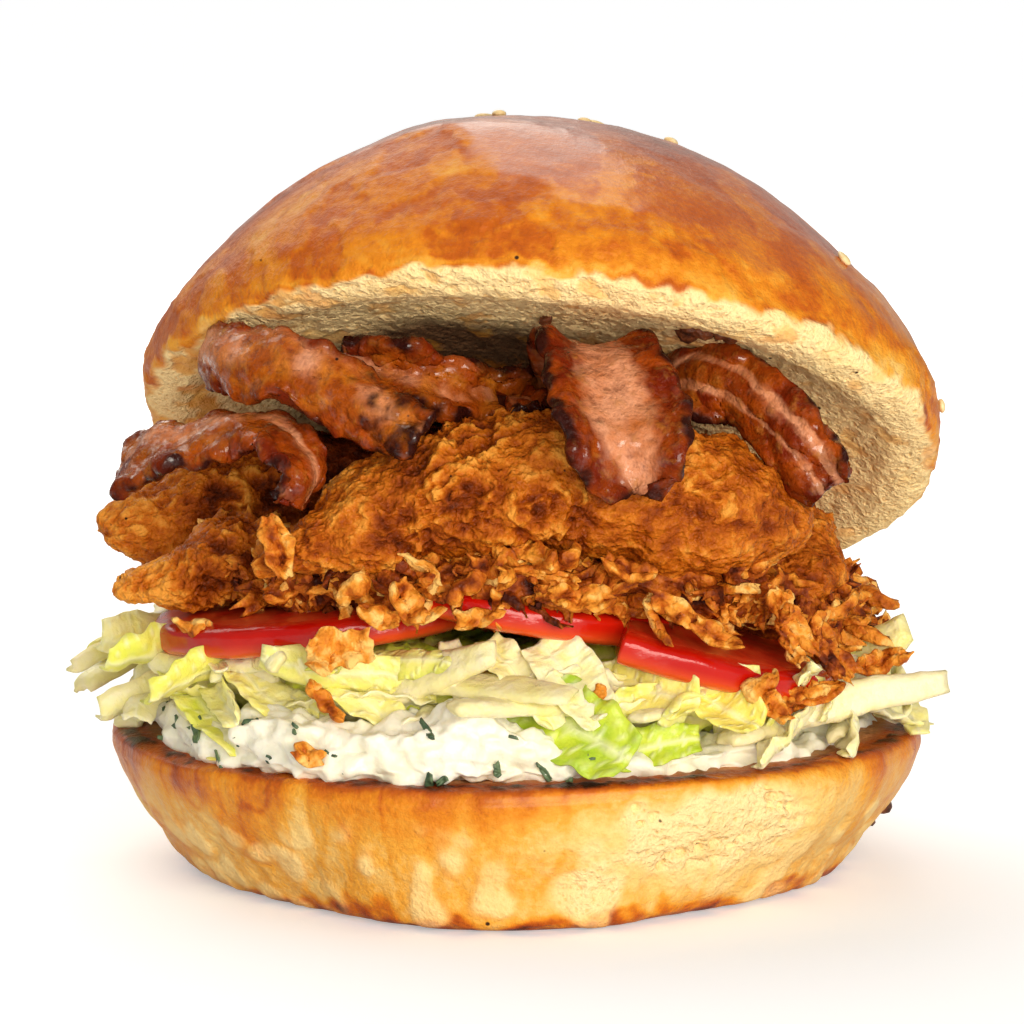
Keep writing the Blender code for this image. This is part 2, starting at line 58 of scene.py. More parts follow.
# Sizes of the bun, the same as the packed solids have
HEEL_RADIUS = 57.4 * MM
HEEL_HEIGHT = 20.6 * MM
CROWN_RADIUS = 55.9 * MM
CROWN_RISE = 40.9 * MM
CROWN_CENTRE = np.array((3.0, 0.0, 62.4)) * MM
CROWN_LEAN = math.radians(30.4)
CROWN_ROLL = math.radians(5.8)
TOMATO_CUT = 14.0 * MM

# Profiles as (radius, height), as shares of the radius and height named above
HEEL_PROFILE = (
    (0.0, 0.90), (0.35, 0.91), (0.70, 0.95), (0.92, 1.0), (0.98, 0.99), (1.0, 0.90), (0.99, 0.79),
    (0.963, 0.62), (0.925, 0.45), (0.882, 0.30), (0.845, 0.14), (0.80, 0.03), (0.755, 0.0), (0.4, 0.0),
    (0.0, 0.0),
)
CROWN_PROFILE = (
    (0.0, 1.0), (0.25, 0.968), (0.48, 0.865), (0.69, 0.68), (0.85, 0.45), (0.955, 0.23),
    (1.0, 0.05), (0.98, -0.07), (0.91, -0.09), (0.80, -0.03), (0.5, 0.05), (0.0, 0.09),
)

# Where the crown's crust ends, as degrees around it and shares of its profile
CROWN_RIM = (
    (-180, 0.606), (-164, 0.613), (-136, 0.621), (-108, 0.609), (-98, 0.601), (-73, 0.604), (-48, 0.584),
    (-31, 0.594), (-20, 0.607), (30, 0.600), (180, 0.606),
)


def mm(*values):
    """The values, given in millimetres, as an array in metres."""
    return np.array(values, float) * MM


def unit(vectors):
    """Each vector of an array scaled to length one."""
    vectors = np.asarray(vectors, float)
    return vectors / np.maximum(np.linalg.norm(vectors, axis=-1, keepdims=True), 1e-12)


def smooth(low, high, value):
    """0 below low, 1 above high, and 3t^2 - 2t^3 between them."""
    t = np.clip((value - low) / (high - low), 0, 1)
    return t * t * (3 - 2 * t)


def bump(x, y, centre, reach):
    """A smooth hill exp(-dx^2 - dy^2) of height one, with a radius for each axis."""
    return np.exp(-((x - centre[0]) / reach[0]) ** 2 - ((y - centre[1]) / reach[1]) ** 2)


class Noise:
    """Smooth gradient noise: random slopes on a unit lattice, blended between its corners."""

    def __init__(self, seed):
        rng = np.random.default_rng(seed)
        self.order = rng.permutation(256)
        self.slopes = unit(rng.normal(size=(256, 3)))
        self.spots = rng.random((256, 3))

    def pick(self, cell):
        """An entry for each lattice cell, by the shuffled order."""
        cell = cell & 255
        order = self.order
        return order[(order[(order[cell[:, 0]] + cell[:, 1]) & 255] + cell[:, 2]) & 255]

    def __call__(self, points, size):
        """Sum over a cell's corners of slope . offset, weighted by 6t^5 - 15t^4 + 10t^3."""
        at = np.asarray(points, float).reshape(-1, 3) / size
        low = np.floor(at).astype(int)
        part = at - low
        ease = part ** 3 * (part * (part * 6 - 15) + 10)
        total = np.zeros(len(at))
        for corner in np.ndindex(2, 2, 2):
            share = np.prod(np.where(corner, ease, 1 - ease), axis=1)
            total += share * np.einsum("ij,ij->i", self.slopes[self.pick(low + corner)], part - corner)
        return total.reshape(np.shape(points)[:-1])

    def fractal(self, points, size, octaves=3, gain=0.5):
        """Octaves of noise, each half the size and gain times the height of the one before."""
        points = np.asarray(points, float)
        return sum(self(points + 3.7 * k * size, size / 2 ** k) * gain ** k for k in range(octaves))

    def ridges(self, points, size, octaves=3, gain=0.55):
        """Octaves of 1 - |3 noise|, which stand up as thin crests."""
        points = np.asarray(points, float)
        return sum(
            (1 - np.minimum(np.abs(3 * self(points + 5.1 * k * size, size / 2 ** k)), 1)) * gain ** k
            for k in range(octaves)
        )

    def cells(self, points, size):
        """Distance, in sizes, to the nearest of the random spots that fill space, one to a cell."""
        at = np.asarray(points, float).reshape(-1, 3) / size
        low = np.floor(at).astype(int)
        nearest = np.full(len(at), 9.0)
        for corner in np.ndindex(3, 3, 3):
            cell = low + corner - 1
            spot = cell + self.spots[self.pick(cell)]
            nearest = np.minimum(nearest, ((spot - at) ** 2).sum(axis=1))
        return np.sqrt(nearest).reshape(np.shape(points)[:-1])


# One noise for broad forms and one for small ones
noise = Noise(7)
detail = Noise(31)


def through(points, share):
    """Smooth curve through the points (cubic Hermite pieces), read at shares of its chord length."""
    points = np.asarray(points, float)
    steps = np.linalg.norm(np.diff(points, axis=0), axis=1)
    knots = np.concatenate([[0.0], np.cumsum(steps)]) / steps.sum()
    slopes = np.gradient(points, knots, axis=0)
    share = np.asarray(share, float)
    i = np.clip(np.searchsorted(knots, share, side="right") - 1, 0, len(knots) - 2)
    width = (knots[i + 1] - knots[i])[..., None]
    f = (share - knots[i])[..., None] / width
    return (
        (2 * f ** 3 - 3 * f ** 2 + 1) * points[i]
        + (f ** 3 - 2 * f ** 2 + f) * width * slopes[i]
        + (3 * f ** 2 - 2 * f ** 3) * points[i + 1]
        + (f ** 3 - f ** 2) * width * slopes[i + 1]
    )


# Shapes that the packed solids also have


def ring(x, y, z, shift):
    """Points from three coordinates, which may be arrays of matching shapes, all moved by a shift."""
    return np.stack(np.broadcast_arrays(x, y, z), axis=-1) + shift


def heel_shape(around, down):
    """r(down), z(down) from the heel profile, turned round; the radius swells with noise(angle)."""
    r, z = np.moveaxis(through(HEEL_PROFILE, down / math.pi), -1, 0)
    x, y = np.cos(around), np.sin(around)
    swell = 1 + 0.03 * noise(ring(x, y, z, 3.1), 0.55)
    swell += 0.155 * bump(x, y, (-0.07, -1.0), (0.5, 0.3)) * (1 - z) ** 2
    r = r * HEEL_RADIUS * np.where(r > 0.5, swell, 1)
    sag = 0.6 * MM * noise(ring(r * x, r * y, 0 * r, 0.2), 30 * MM)
    return ring(r * x, r * y, np.maximum(z, 0) * (HEEL_HEIGHT + sag * 2 * (z > 0.3)), 0)


def crown_shape(around, down):
    """r(down), z(down) from the crown profile, cut face down, its rim curling under the face."""
    r, z = np.moveaxis(through(CROWN_PROFILE, down / math.pi), -1, 0)
    x, y = np.cos(around), np.sin(around)
    swell = 1 + 0.035 * noise(ring(x, y, z, 8.4), 0.7)
    swell += 0.025 * bump(x, y, (1.0, -0.2), (0.3, 0.5)) * (z < 0.4)
    r = r * CROWN_RADIUS * np.where(r > 0.2, swell, 1)
    z = z * CROWN_RISE
    z = z + 1.2 * MM * noise(ring(r * x, r * y, z, 5.0), 24 * MM)
    return ring(r * x, r * y, z, 0)


def place_crown(points):
    """Leans the crown back about X, rolls its right side down about Y, and puts it in its place."""
    lean, roll = CROWN_LEAN, CROWN_ROLL
    back = np.array([[1, 0, 0], [0, math.cos(lean), math.sin(lean)], [0, -math.sin(lean), math.cos(lean)]])
    over = np.array([[math.cos(roll), 0, math.sin(roll)], [0, 1, 0], [-math.sin(roll), 0, math.cos(roll)]])
    return points @ (over @ back).T + CROWN_CENTRE


def slab_shape(around, down, reach, bottom, top, squareness):
    """A rounded slab: |r / reach|^n + |h|^n = 1 between the heights bottom(x, y) and top(x, y)."""
    r = reach(around) * np.abs(np.sin(down)) ** (2 / squareness)
    share = np.sign(np.cos(down)) * np.abs(np.cos(down)) ** (2 / squareness)
    x, y = r * np.cos(around), r * np.sin(around)
    low, high = bottom(x, y), top(x, y)
    return ring(x, y, (high + low) / 2 + share * (high - low) / 2, 0)


def sauce_shape(around, down):
    """Herb sauce: a thin layer on the heel that swells into lobes along the front left."""

    def reach(angle):
        x, y = np.cos(angle), np.sin(angle)
        spill = 6.5 * bump(x, y, (-0.5, -0.85), (0.62, 0.6))
        return (50.5 + spill + 2.4 * noise(ring(x, y, 0 * x, 1.7), 0.32)) * MM

    def bottom(x, y):
        return np.full(np.shape(x), HEEL_HEIGHT - 2.2 * MM)

    def top(x, y):
        lobes = (
            9.0 * bump(x, y, mm(-7, -51), mm(13, 12))
            + 7.6 * bump(x, y, mm(-31, -44), mm(9, 12))
            + 6.0 * bump(x, y, mm(-49, -24), mm(9, 12))
            + 2.2 * bump(x, y, mm(32, -44), mm(12, 8))
        )
        ripple = 0.9 * noise(ring(x, y, 0 * x, 0), 8 * MM)
        return HEEL_HEIGHT + (2.4 + lobes + ripple) * MM

    return slab_shape(around, down, reach, bottom, top, 4.6)


def lettuce_core_shape(around, down):
    """The inside of the lettuce heap, high at the front and low at the back."""

    def reach(angle):
        x, y = np.cos(angle), np.sin(angle)
        return (51.0 + 4 * noise(ring(x, y, 0 * x, 6.3), 0.4) - 4.5 * np.clip(-y, 0, 1)) * MM

    def bottom(x, y):
        return np.full(np.shape(x), HEEL_HEIGHT + 1.5 * MM)

    def top(x, y):
        ripple = 3.0 * noise(ring(x, y, 0 * x, 2.0), 14 * MM)
        return (34.0 - 0.07 * y / MM - 0.04 * x / MM + ripple) * MM

    return slab_shape(around, down, reach, bottom, top, 3.4)


def onion_core_shape(around, down):
    """The inside of the crispy onions, between the tomato and the chicken."""

    def reach(angle):
        x, y = np.cos(angle), np.sin(angle)
        right = np.clip(x, 0, 1) ** 2
        return (46.0 + 5 * noise(ring(x, y, 0 * x, 4.4), 0.4) + 4 * right) * MM

    def bottom(x, y):
        right = 10 * bump(x, y, mm(50, -12), mm(14, 26))
        return (34.4 - 0.10 * y / MM - right) * MM

    def top(x, y):
        ripple = 2.5 * noise(ring(x, y, 0 * x, 9.0), 11 * MM)
        return (45.4 - 0.17 * y / MM - 0.05 * x / MM + ripple) * MM

    return slab_shape(around, down, reach, bottom, top, 2.8)


# Each tender: points of its middle line, then half widths and half heights along it, in millimetres
TENDERS = {
    "chicken_front": (
        (
            (-35, -43, 47.9), (-27, -42, 51.4), (-13, -38, 56.4), (1, -36, 58), (14, -35, 57.4),
            (26, -34, 55.4), (40, -31, 52.4),
        ),
        (4.5, 8, 11.5, 13.5, 14, 13.5, 9),
        (4.5, 6.5, 8.5, 9.8, 10.5, 11.2, 8.5),
    ),
    "chicken_left": (
        ((-58, -12, 48.4), (-49, -8, 49.9), (-36, -2, 51.4), (-14, 3, 51), (8, 4, 51), (27, 0, 51)),
        (7.5, 10.5, 13, 14, 14, 9),
        (8, 8.5, 9.5, 10, 10, 7),
    ),
    "chicken_finger": (
        ((-55.5, -26, 41.9), (-47, -25.5, 43.9), (-39, -24, 46.4), (-30, -22, 48.4)),
        (3.4, 5, 6, 5),
        (3, 4, 5.5, 5),
    ),
    "chicken_right": (
        ((40, -29, 42.9), (38, -18, 44.4), (33, -4, 45.4), (27, 10, 43.4), (21, 22, 39.4)),
        (7, 9.5, 13, 12, 8),
        (5, 8.5, 8.5, 8, 6),
    ),
    "chicken_back": (
        ((-32, 26, 35.9), (-16, 29, 36.4), (2, 31, 35.9), (18, 30, 35.4)),
        (8, 10, 10, 8),
        (5, 6, 6, 5),
    ),
}
TENDER_GRIDS = {"chicken_front": (330, 280), "chicken_left": (260, 220), "chicken_right": (240, 190)}
SMALL_TENDER_GRID = (160, 150)


def tender_shape(around, down, line, half_widths, half_heights):
    """Ellipses carried along the middle line, closed by blunt ends, with lumps of noise."""
    share = (1 - np.cos(down)) / 2
    girth = np.abs(np.sin(down)) ** 0.75
    middle = through(mm(*line), share)
    ahead = through(mm(*line), np.clip(share + 0.02, 0, 1)) - through(mm(*line), np.clip(share - 0.02, 0, 1))
    knots = np.linspace(0, 1, len(half_widths))
    wide = np.interp(share, knots, half_widths) * girth * MM
    high = np.interp(share, knots, half_heights) * girth * MM
    along = unit(ahead)
    side = unit(np.cross(along, [0.0, 0.0, 1.0]))
    up = np.cross(side, along)
    out = side * (wide * np.cos(around))[..., None] + up * (high * np.sin(around))[..., None]
    point = middle + out
    blunt = -np.cos(down) * 0.5 * (wide + high) * np.abs(np.cos(down)) ** 3
    away = unit(out + along * blunt[..., None])
    lumps = 2.6 * noise(point, 11 * MM) - 1.6 * np.abs(noise(point + 0.3, 6.5 * MM)) + 0.5
    return point + away * (lumps * MM)[..., None]


# Each rasher: points of its middle line, the way across it, and its width at both ends, in millimetres
RASHERS = {
    "bacon_front": (
        (
            (7, 8, 58.4), (8, -8, 65.4), (9, -24, 72.9), (10.5, -35, 77.4), (12.5, -44, 75.9),
            (14.5, -50.8, 69.4), (15.5, -53.5, 63.4), (16, -53.4, 58.9),
        ),
        ((0.97, 0.1, 0.2), (0.98, 0.05, -0.15)),
        (14, 21),
    ),
    "bacon_top_left": (
        (
            (-20, -6, 68.4), (-33, -14, 72.9), (-39.5, -26, 74.4), (-36, -34.5, 74.9),
            (-27, -39.5, 72.9), (-19, -43, 68.9), (-11.5, -46.5, 65.4),
        ),
        ((0.2, 0.3, 0.93), (0.25, 0.35, 0.9)),
        (12, 9.5),
    ),
    "bacon_top_back": (
        ((6, -10, 64.4), (3, -24, 68.4), (-5, -31.5, 70.9), (-14, -33.5, 72.9), (-24, -33, 74.9)),
        ((0.2, 0.5, 0.85), (0.15, 0.35, 0.92)),
        (9, 9),
    ),
    "bacon_low_left": (
        (
            (-52.5, -29, 58.4), (-46.5, -32.5, 62.4), (-39, -35, 64.9), (-32.5, -38, 64.4),
            (-29.2, -41.5, 60.9), (-30.5, -42.5, 56.6),
        ),
        ((0.3, 0.62, 0.72), (0.55, 0.8, 0.2)),
        (13, 8),
    ),
    "bacon_right": (
        (
            (15, -10, 65.9), (21, -22, 69.4), (28, -28.5, 71.4), (34, -33, 68.4), (39, -36, 62.9),
            (42.5, -37, 57.9),
        ),
        ((-0.75, 0.45, -0.5), (-0.7, 0.3, -0.65)),
        (12, 10.5),
    ),
    "bacon_middle": (
        ((-2, 2, 61.9), (-1.5, -14, 66.4), (0, -27, 69.2), (4.5, -34, 69)),
        ((0.9, 0.1, 0.3), (0.85, 0.45, 0.2)),
        (9, 6),
    ),
}


def rasher_shape(share, width_share, line, across, widths, hollow, blunt):
    """A ribbon along its line: P = middle + side W w + face (hollow (4 w^2 - 1) + waves + frills).

    Its width W is uneven, and narrowed at its far end to a half circle where blunt is 1.
    """
    line = mm(*line)
    middle = through(line, share)
    ahead = unit(through(line, np.clip(share + 0.01, 0, 1)) - through(line, np.clip(share - 0.01, 0, 1)))
    turn = share[..., None]
    side = unit(unit(across[0]) * (1 - turn) + unit(across[1]) * turn)
    side = unit(side - ahead * np.einsum("...j,...j->...", side, ahead)[..., None])
    face = np.cross(ahead, side)
    width = np.interp(share, (0, 1), widths) * (1 + 0.3 * noise(middle, 13 * MM))
    width = width * (1 - 0.05 * abs(hollow)) * MM
    ragged = detail.fractal(middle + side * (np.sign(width_share) * 0.01)[..., None], 5.0 * MM, 2)
    width *= 1 + 0.22 * ragged
    width *= np.sqrt(np.clip(1 - blunt * (np.clip(share - 0.87, 0, 1) / 0.133) ** 2, 0.04, 1))
    length = np.linalg.norm(np.diff(line, axis=0), axis=1).sum()
    wave = 1.1 * np.sin(share * length / (3.4 * MM)) * (0.3 + 2.6 * width_share ** 2)
    bow = hollow * (width_share ** 2 * 4 - 1)
    frill = 4.0 * detail(middle + side * (width_share * 0.01)[..., None], 4.2 * MM)
    frill = frill * np.abs(2 * width_share) ** 3
    dent = 1.6 * detail.fractal(middle + side * (width_share * 0.012)[..., None] + 2.2, 7.0 * MM, 2)
    lift = (wave + bow + frill + dent) * MM
    return middle + side * (width * width_share)[..., None] + face * lift[..., None]


# Meshes from arrays


def new_piece(name, arrays, finish, nodes):
    """An object from arrays (points, quads, triangles, values by name), with its finish and its place."""
    points, quads, triangles, values = arrays
    mesh = bpy.data.meshes.new(name)
    corners = np.concatenate([quads.ravel(), triangles.ravel()]).astype(np.int32)
    starts = np.concatenate([np.arange(len(quads)) * 4, len(quads) * 4 + np.arange(len(triangles)) * 3])
    mesh.vertices.add(len(points))
    mesh.vertices.foreach_set("co", points.astype(np.float32).ravel())
    mesh.loops.add(len(corners))
    mesh.loops.foreach_set("vertex_index", corners)
    mesh.polygons.add(len(starts))
    mesh.polygons.foreach_set("loop_start", starts.astype(np.int32))
    mesh.update(calc_edges=True)
    for key, numbers in values.items():
        mesh.attributes.new(key, "FLOAT", "POINT").data.foreach_set("value", numbers.astype(np.float32))
    mesh.shade_smooth()
    mesh.materials.append(finish)
    piece = bpy.data.objects.new(name, mesh)
    bpy.context.scene.collection.objects.link(piece)
    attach(piece, "root")
    if nodes:
        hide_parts(*nodes)
    return piece


NO_TRIANGLES = np.zeros((0, 3), int)


def crowded(count, middle, crowding):
    """Angles once round, closer together near the middle angle: t - crowding sin(t) over 0 to 2 pi."""
    t = np.arange(count) / count * 2 * math.pi
    return middle + t - crowding * np.sin(t)


def stretches(*parts):
    """Angles down from the top, from (first share, last share, count) stretches that follow each other."""
    return np.concatenate([np.linspace(a, b, n, endpoint=False) for a, b, n in parts]) * math.pi


def grid_normals(points):
    """Unit normals of a grid (rows, columns, 3) whose columns close on themselves."""
    down = np.gradient(points, axis=0)
    around = (np.roll(points, -1, axis=1) - np.roll(points, 1, axis=1)) / 2
    return unit(np.cross(down, around))


def round_arrays(arounds, downs, shape, relief):
    """A closed grid: shape(around, down) moved along its normals by relief, with a point at each pole.

    relief(points, around, down) returns the move and a dict of numbers for the surface.
    """
    around, down = np.meshgrid(arounds, downs)
    points = shape(around, down)
    move, values = relief(points, around, down)
    points = points + grid_normals(points) * move[..., None]
    rows, columns = around.shape
    index = np.arange(rows * columns).reshape(rows, columns)
    right = np.roll(index, -1, axis=1)
    quads = np.stack([index[:-1], index[1:], right[1:], right[:-1]], axis=-1).reshape(-1, 4)
    top, low = rows * columns, rows * columns + 1
    triangles = np.concatenate([
        np.stack([np.full(columns, top), index[0], right[0]], axis=-1),
        np.stack([np.full(columns, low), right[-1], index[-1]], axis=-1),
    ])
    flat = np.concatenate([points.reshape(-1, 3), points[0].mean(0)[None], points[-1].mean(0)[None]])
    values = {k: np.concatenate([v.ravel(), [v[0].mean(), v[-1].mean()]]) for k, v in values.items()}
    return flat, quads, triangles, values


def strip_faces(rows, columns):
    """Faces of one closed strip: a top grid, a bottom grid and the walls between their borders."""
    top = np.arange(rows * columns).reshape(rows, columns)
    low = top + rows * columns

    def quads(a, b, c, d):
        return np.stack([a, b, c, d], axis=-1).reshape(-1, 4)

    return np.concatenate([
        quads(top[:-1, :-1], top[1:, :-1], top[1:, 1:], top[:-1, 1:]),
        quads(low[:-1, :-1], low[:-1, 1:], low[1:, 1:], low[1:, :-1]),
        quads(top[:-1, -1], top[1:, -1], low[1:, -1], low[:-1, -1]),
        quads(top[:-1, 0], low[:-1, 0], low[1:, 0], top[1:, 0]),
        quads(top[-1, :-1], low[-1, :-1], low[-1, 1:], top[-1, 1:]),
        quads(top[0, :-1], top[0, 1:], low[0, 1:], low[0, :-1]),
    ])


def strip_arrays(middles, thickness, values):
    """Closed strips (strips, rows, columns, 3): each middle surface given its thickness both ways."""
    count, rows, columns, _ = middles.shape
    along = np.gradient(middles, axis=1)
    across = np.gradient(middles, axis=2)
    half = unit(np.cross(along, across)) * (thickness / 2)[..., None]
    points = np.stack([middles + half, middles - half], axis=1).reshape(-1, 3)
    faces = strip_faces(rows, columns)
    quads = (faces[None] + (np.arange(count) * 2 * rows * columns)[:, None, None]).reshape(-1, 4)

    def doubled(value):
        return np.repeat(np.broadcast_to(value, middles.shape[:3])[:, None], 2, axis=1).ravel()

    return points, quads, NO_TRIANGLES, {key: doubled(value) for key, value in values.items()}


def joined(*parts):
    """Several sets of arrays as one."""
    offset = np.cumsum([0] + [len(p[0]) for p in parts])
    return (
        np.concatenate([p[0] for p in parts]),
        np.concatenate([p[1] + o for p, o in zip(parts, offset)]),
        np.concatenate([p[2] + o for p, o in zip(parts, offset)]),
        {k: np.concatenate([p[3][k] for p in parts]) for k in parts[0][3]},
    )


def turned(axis, angle):
    """Rotation matrices (..., 3, 3) about unit axes by angles, by Rodrigues' formula."""
    axis, angle = unit(axis), np.asarray(angle, float)[..., None, None]
    x, y, z = np.moveaxis(axis, -1, 0)
    zero = np.zeros_like(x)
    cross = np.stack([
        np.stack([zero, -z, y], -1), np.stack([z, zero, -x], -1), np.stack([-y, x, zero], -1),
    ], -2)
    return np.eye(3) + np.sin(angle) * cross + (1 - np.cos(angle)) * (cross @ cross)


# Node groups and finishes


def group(name, inputs, outputs):
    """A shader node group with float inputs (name, default), one vector input and its outputs."""
    tree = bpy.data.node_groups.new(name, "ShaderNodeTree")
    tree.interface.new_socket("Vector", in_out="INPUT", socket_type="NodeSocketVector")
    for key, value in inputs:
        tree.interface.new_socket(key, in_out="INPUT", socket_type="NodeSocketFloat").default_value = value
    for key in outputs:
        tree.interface.new_socket(key, in_out="OUTPUT", socket_type="NodeSocketFloat")
    return tree, tree.nodes.new("NodeGroupInput"), tree.nodes.new("NodeGroupOutput")


def put(tree, kind, links=(), **settings):
    """A node of a kind, its settings, and its inputs: sockets to link or values to set."""
    made = tree.nodes.new(kind)
    for key, value in settings.items():
        setattr(made, key, value)
    for key, value in dict(links).items():
        if isinstance(value, bpy.types.NodeSocket):
            tree.links.new(value, made.inputs[key])
        else:
            made.inputs[key].default_value = value
    return made


def maths(tree, operation, first, second):
    """One Math node's output."""
    return put(tree, "ShaderNodeMath", {0: first, 1: second}, operation=operation).outputs[0]


def plus(tree, first, second):
    """The sum of two numbers."""
    return maths(tree, "ADD", first, second)


def times(tree, first, second):
    """The product of two numbers."""
    return maths(tree, "MULTIPLY", first, second)


def spread(tree, value, to_low, to_high):
    """A number from 0 to 1, stretched to the range from to_low to to_high."""
    return between(tree, value, 0, 1, to_low, to_high)


def between(tree, value, low, high, to_low=0.0, to_high=1.0):
    """The value's place from low to high, as a number from to_low to to_high."""
    links = {"Value": value, "From Min": low, "From Max": high, "To Min": to_low, "To Max": to_high}
    return put(tree, "ShaderNodeMapRange", links).outputs[0]


def blended(tree, share, first, second):
    """Two colours mixed by a share."""
    mix = put(tree, "ShaderNodeMix", data_type="RGBA", blend_type="MIX")
    for key, value in ((0, share), (6, first), (7, second)):
        if isinstance(value, bpy.types.NodeSocket):
            tree.links.new(value, mix.inputs[key])
        elif key:
            mix.inputs[key].default_value = (*value[:3], 1)
        else:
            mix.inputs[key].default_value = value
    return mix.outputs[2]


def ramp(tree, share, stops):
    """A colour ramp of (place, colour) stops."""
    made = put(tree, "ShaderNodeValToRGB", {0: share})
    elements = made.color_ramp.elements
    for element, (place, colour) in zip(elements, (stops[0], stops[-1])):
        element.position, element.color = place, (*colour, 1)
    for place, colour in stops[1:-1]:
        elements.new(place).color = (*colour, 1)
    return made.outputs[0]


def mottle_group():
    """Soft uneven patches: fractal noise stretched to the whole range from 0 to 1."""
    tree, into, out = group("mottle", (("Scale", 100.0), ("Low", 0.35), ("High", 0.65)), ("Mask",))
    links = {key: into.outputs[key] for key in ("Vector", "Scale")}
    texture = put(tree, "ShaderNodeTexNoise", {**links, "Detail": 3, "Roughness": 0.6})
    mask = between(tree, texture.outputs[0], into.outputs["Low"], into.outputs["High"])
    tree.links.new(mask, out.inputs["Mask"])
    return tree


def specks_group():
    """Scattered specks: a spot in the middle of a Voronoi cell, in the share of cells that Amount gives."""
    tree, into, out = group("specks", (("Scale", 300.0), ("Size", 0.3), ("Amount", 0.3)), ("Mask",))
    texture = put(tree, "ShaderNodeTexVoronoi", {key: into.outputs[key] for key in ("Vector", "Scale")})
    size = into.outputs["Size"]
    spot = between(tree, texture.outputs["Distance"], size, times(tree, size, 0.6))
    chance = put(tree, "ShaderNodeSeparateColor", {0: texture.outputs["Color"]}).outputs[0]
    chosen = maths(tree, "LESS_THAN", chance, into.outputs["Amount"])
    tree.links.new(times(tree, spot, chosen), out.inputs["Mask"])
    return tree


def pores_group():
    """Height of an open crumb: Voronoi hollows of two sizes over fine noise."""
    tree, into, out = group("pores", (("Scale", 500.0),), ("Height",))
    vector, scale = into.outputs["Vector"], into.outputs["Scale"]
    large = put(tree, "ShaderNodeTexVoronoi", {"Vector": vector, "Scale": scale})
    small = put(tree, "ShaderNodeTexVoronoi", {"Vector": vector, "Scale": times(tree, scale, 2.3)})
    fine_scale = times(tree, scale, 1.7)
    fine = put(tree, "ShaderNodeTexNoise", {"Vector": vector, "Scale": fine_scale, "Detail": 4})
    hollows = times(tree, small.outputs["Distance"], 0.5)
    hollows = plus(tree, large.outputs["Distance"], hollows)
    tree.links.new(plus(tree, hollows, fine.outputs[0]), out.inputs["Height"])
    return tree


class Finish:
    """A material with its Principled shader, its Object coordinates, and the shared node groups."""

    def __init__(self, name, **constants):
        self.material = bpy.data.materials.new(name)
        self.material.use_nodes = True
        self.tree = self.material.node_tree
        self.shader = self.tree.nodes["Principled BSDF"]
        self.place = put(self.tree, "ShaderNodeTexCoord").outputs["Object"]
        for key, value in constants.items():
            self.shader.inputs[key.replace("_", " ")].default_value = value

    def value(self, name):
        """The number that the piece's mesh carries under this name."""
        return put(self.tree, "ShaderNodeAttribute", attribute_name=name).outputs["Fac"]

    def shared(self, name, builder, **inputs):
        """A shared group's output, with this material's own inputs."""
        tree = bpy.data.node_groups.get(name) or builder()
        return put(self.tree, "ShaderNodeGroup", {"Vector": self.place, **inputs}, node_tree=tree).outputs[0]

    def mottle(self, scale, low=0.35, high=0.65):
        """Soft patches, between 0 and 1."""
        return self.shared("mottle", mottle_group, Scale=scale, Low=low, High=high)

    def specks(self, scale, size, amount):
        """Scattered specks, between 0 and 1."""
        return self.shared("specks", specks_group, Scale=scale, Size=size, Amount=amount)

    def pores(self, scale):
        """Height of an open crumb."""
        return self.shared("pores", pores_group, Scale=scale)

    def bumpy(self, height, distance, strength=1.0):
        """Relief finer than the mesh, as a Bump node on the shader's normal."""
        links = {"Height": height, "Distance": distance, "Strength": strength}
        made = put(self.tree, "ShaderNodeBump", links)
        self.tree.links.new(made.outputs[0], self.shader.inputs["Normal"])

    def set(self, **sockets):
        """Links the shader's inputs, with _ for the spaces in their names."""
        for key, value in sockets.items():
            self.tree.links.new(value, self.shader.inputs[key.replace("_", " ")])


def once(builder):
    """Builds a material the first time it is asked for, and hands the same one out after that."""

    def made(*inputs):
        name = builder.__name__
        return bpy.data.materials.get(name) or builder(name, *inputs)

    made.__doc__ = builder.__doc__
    return made


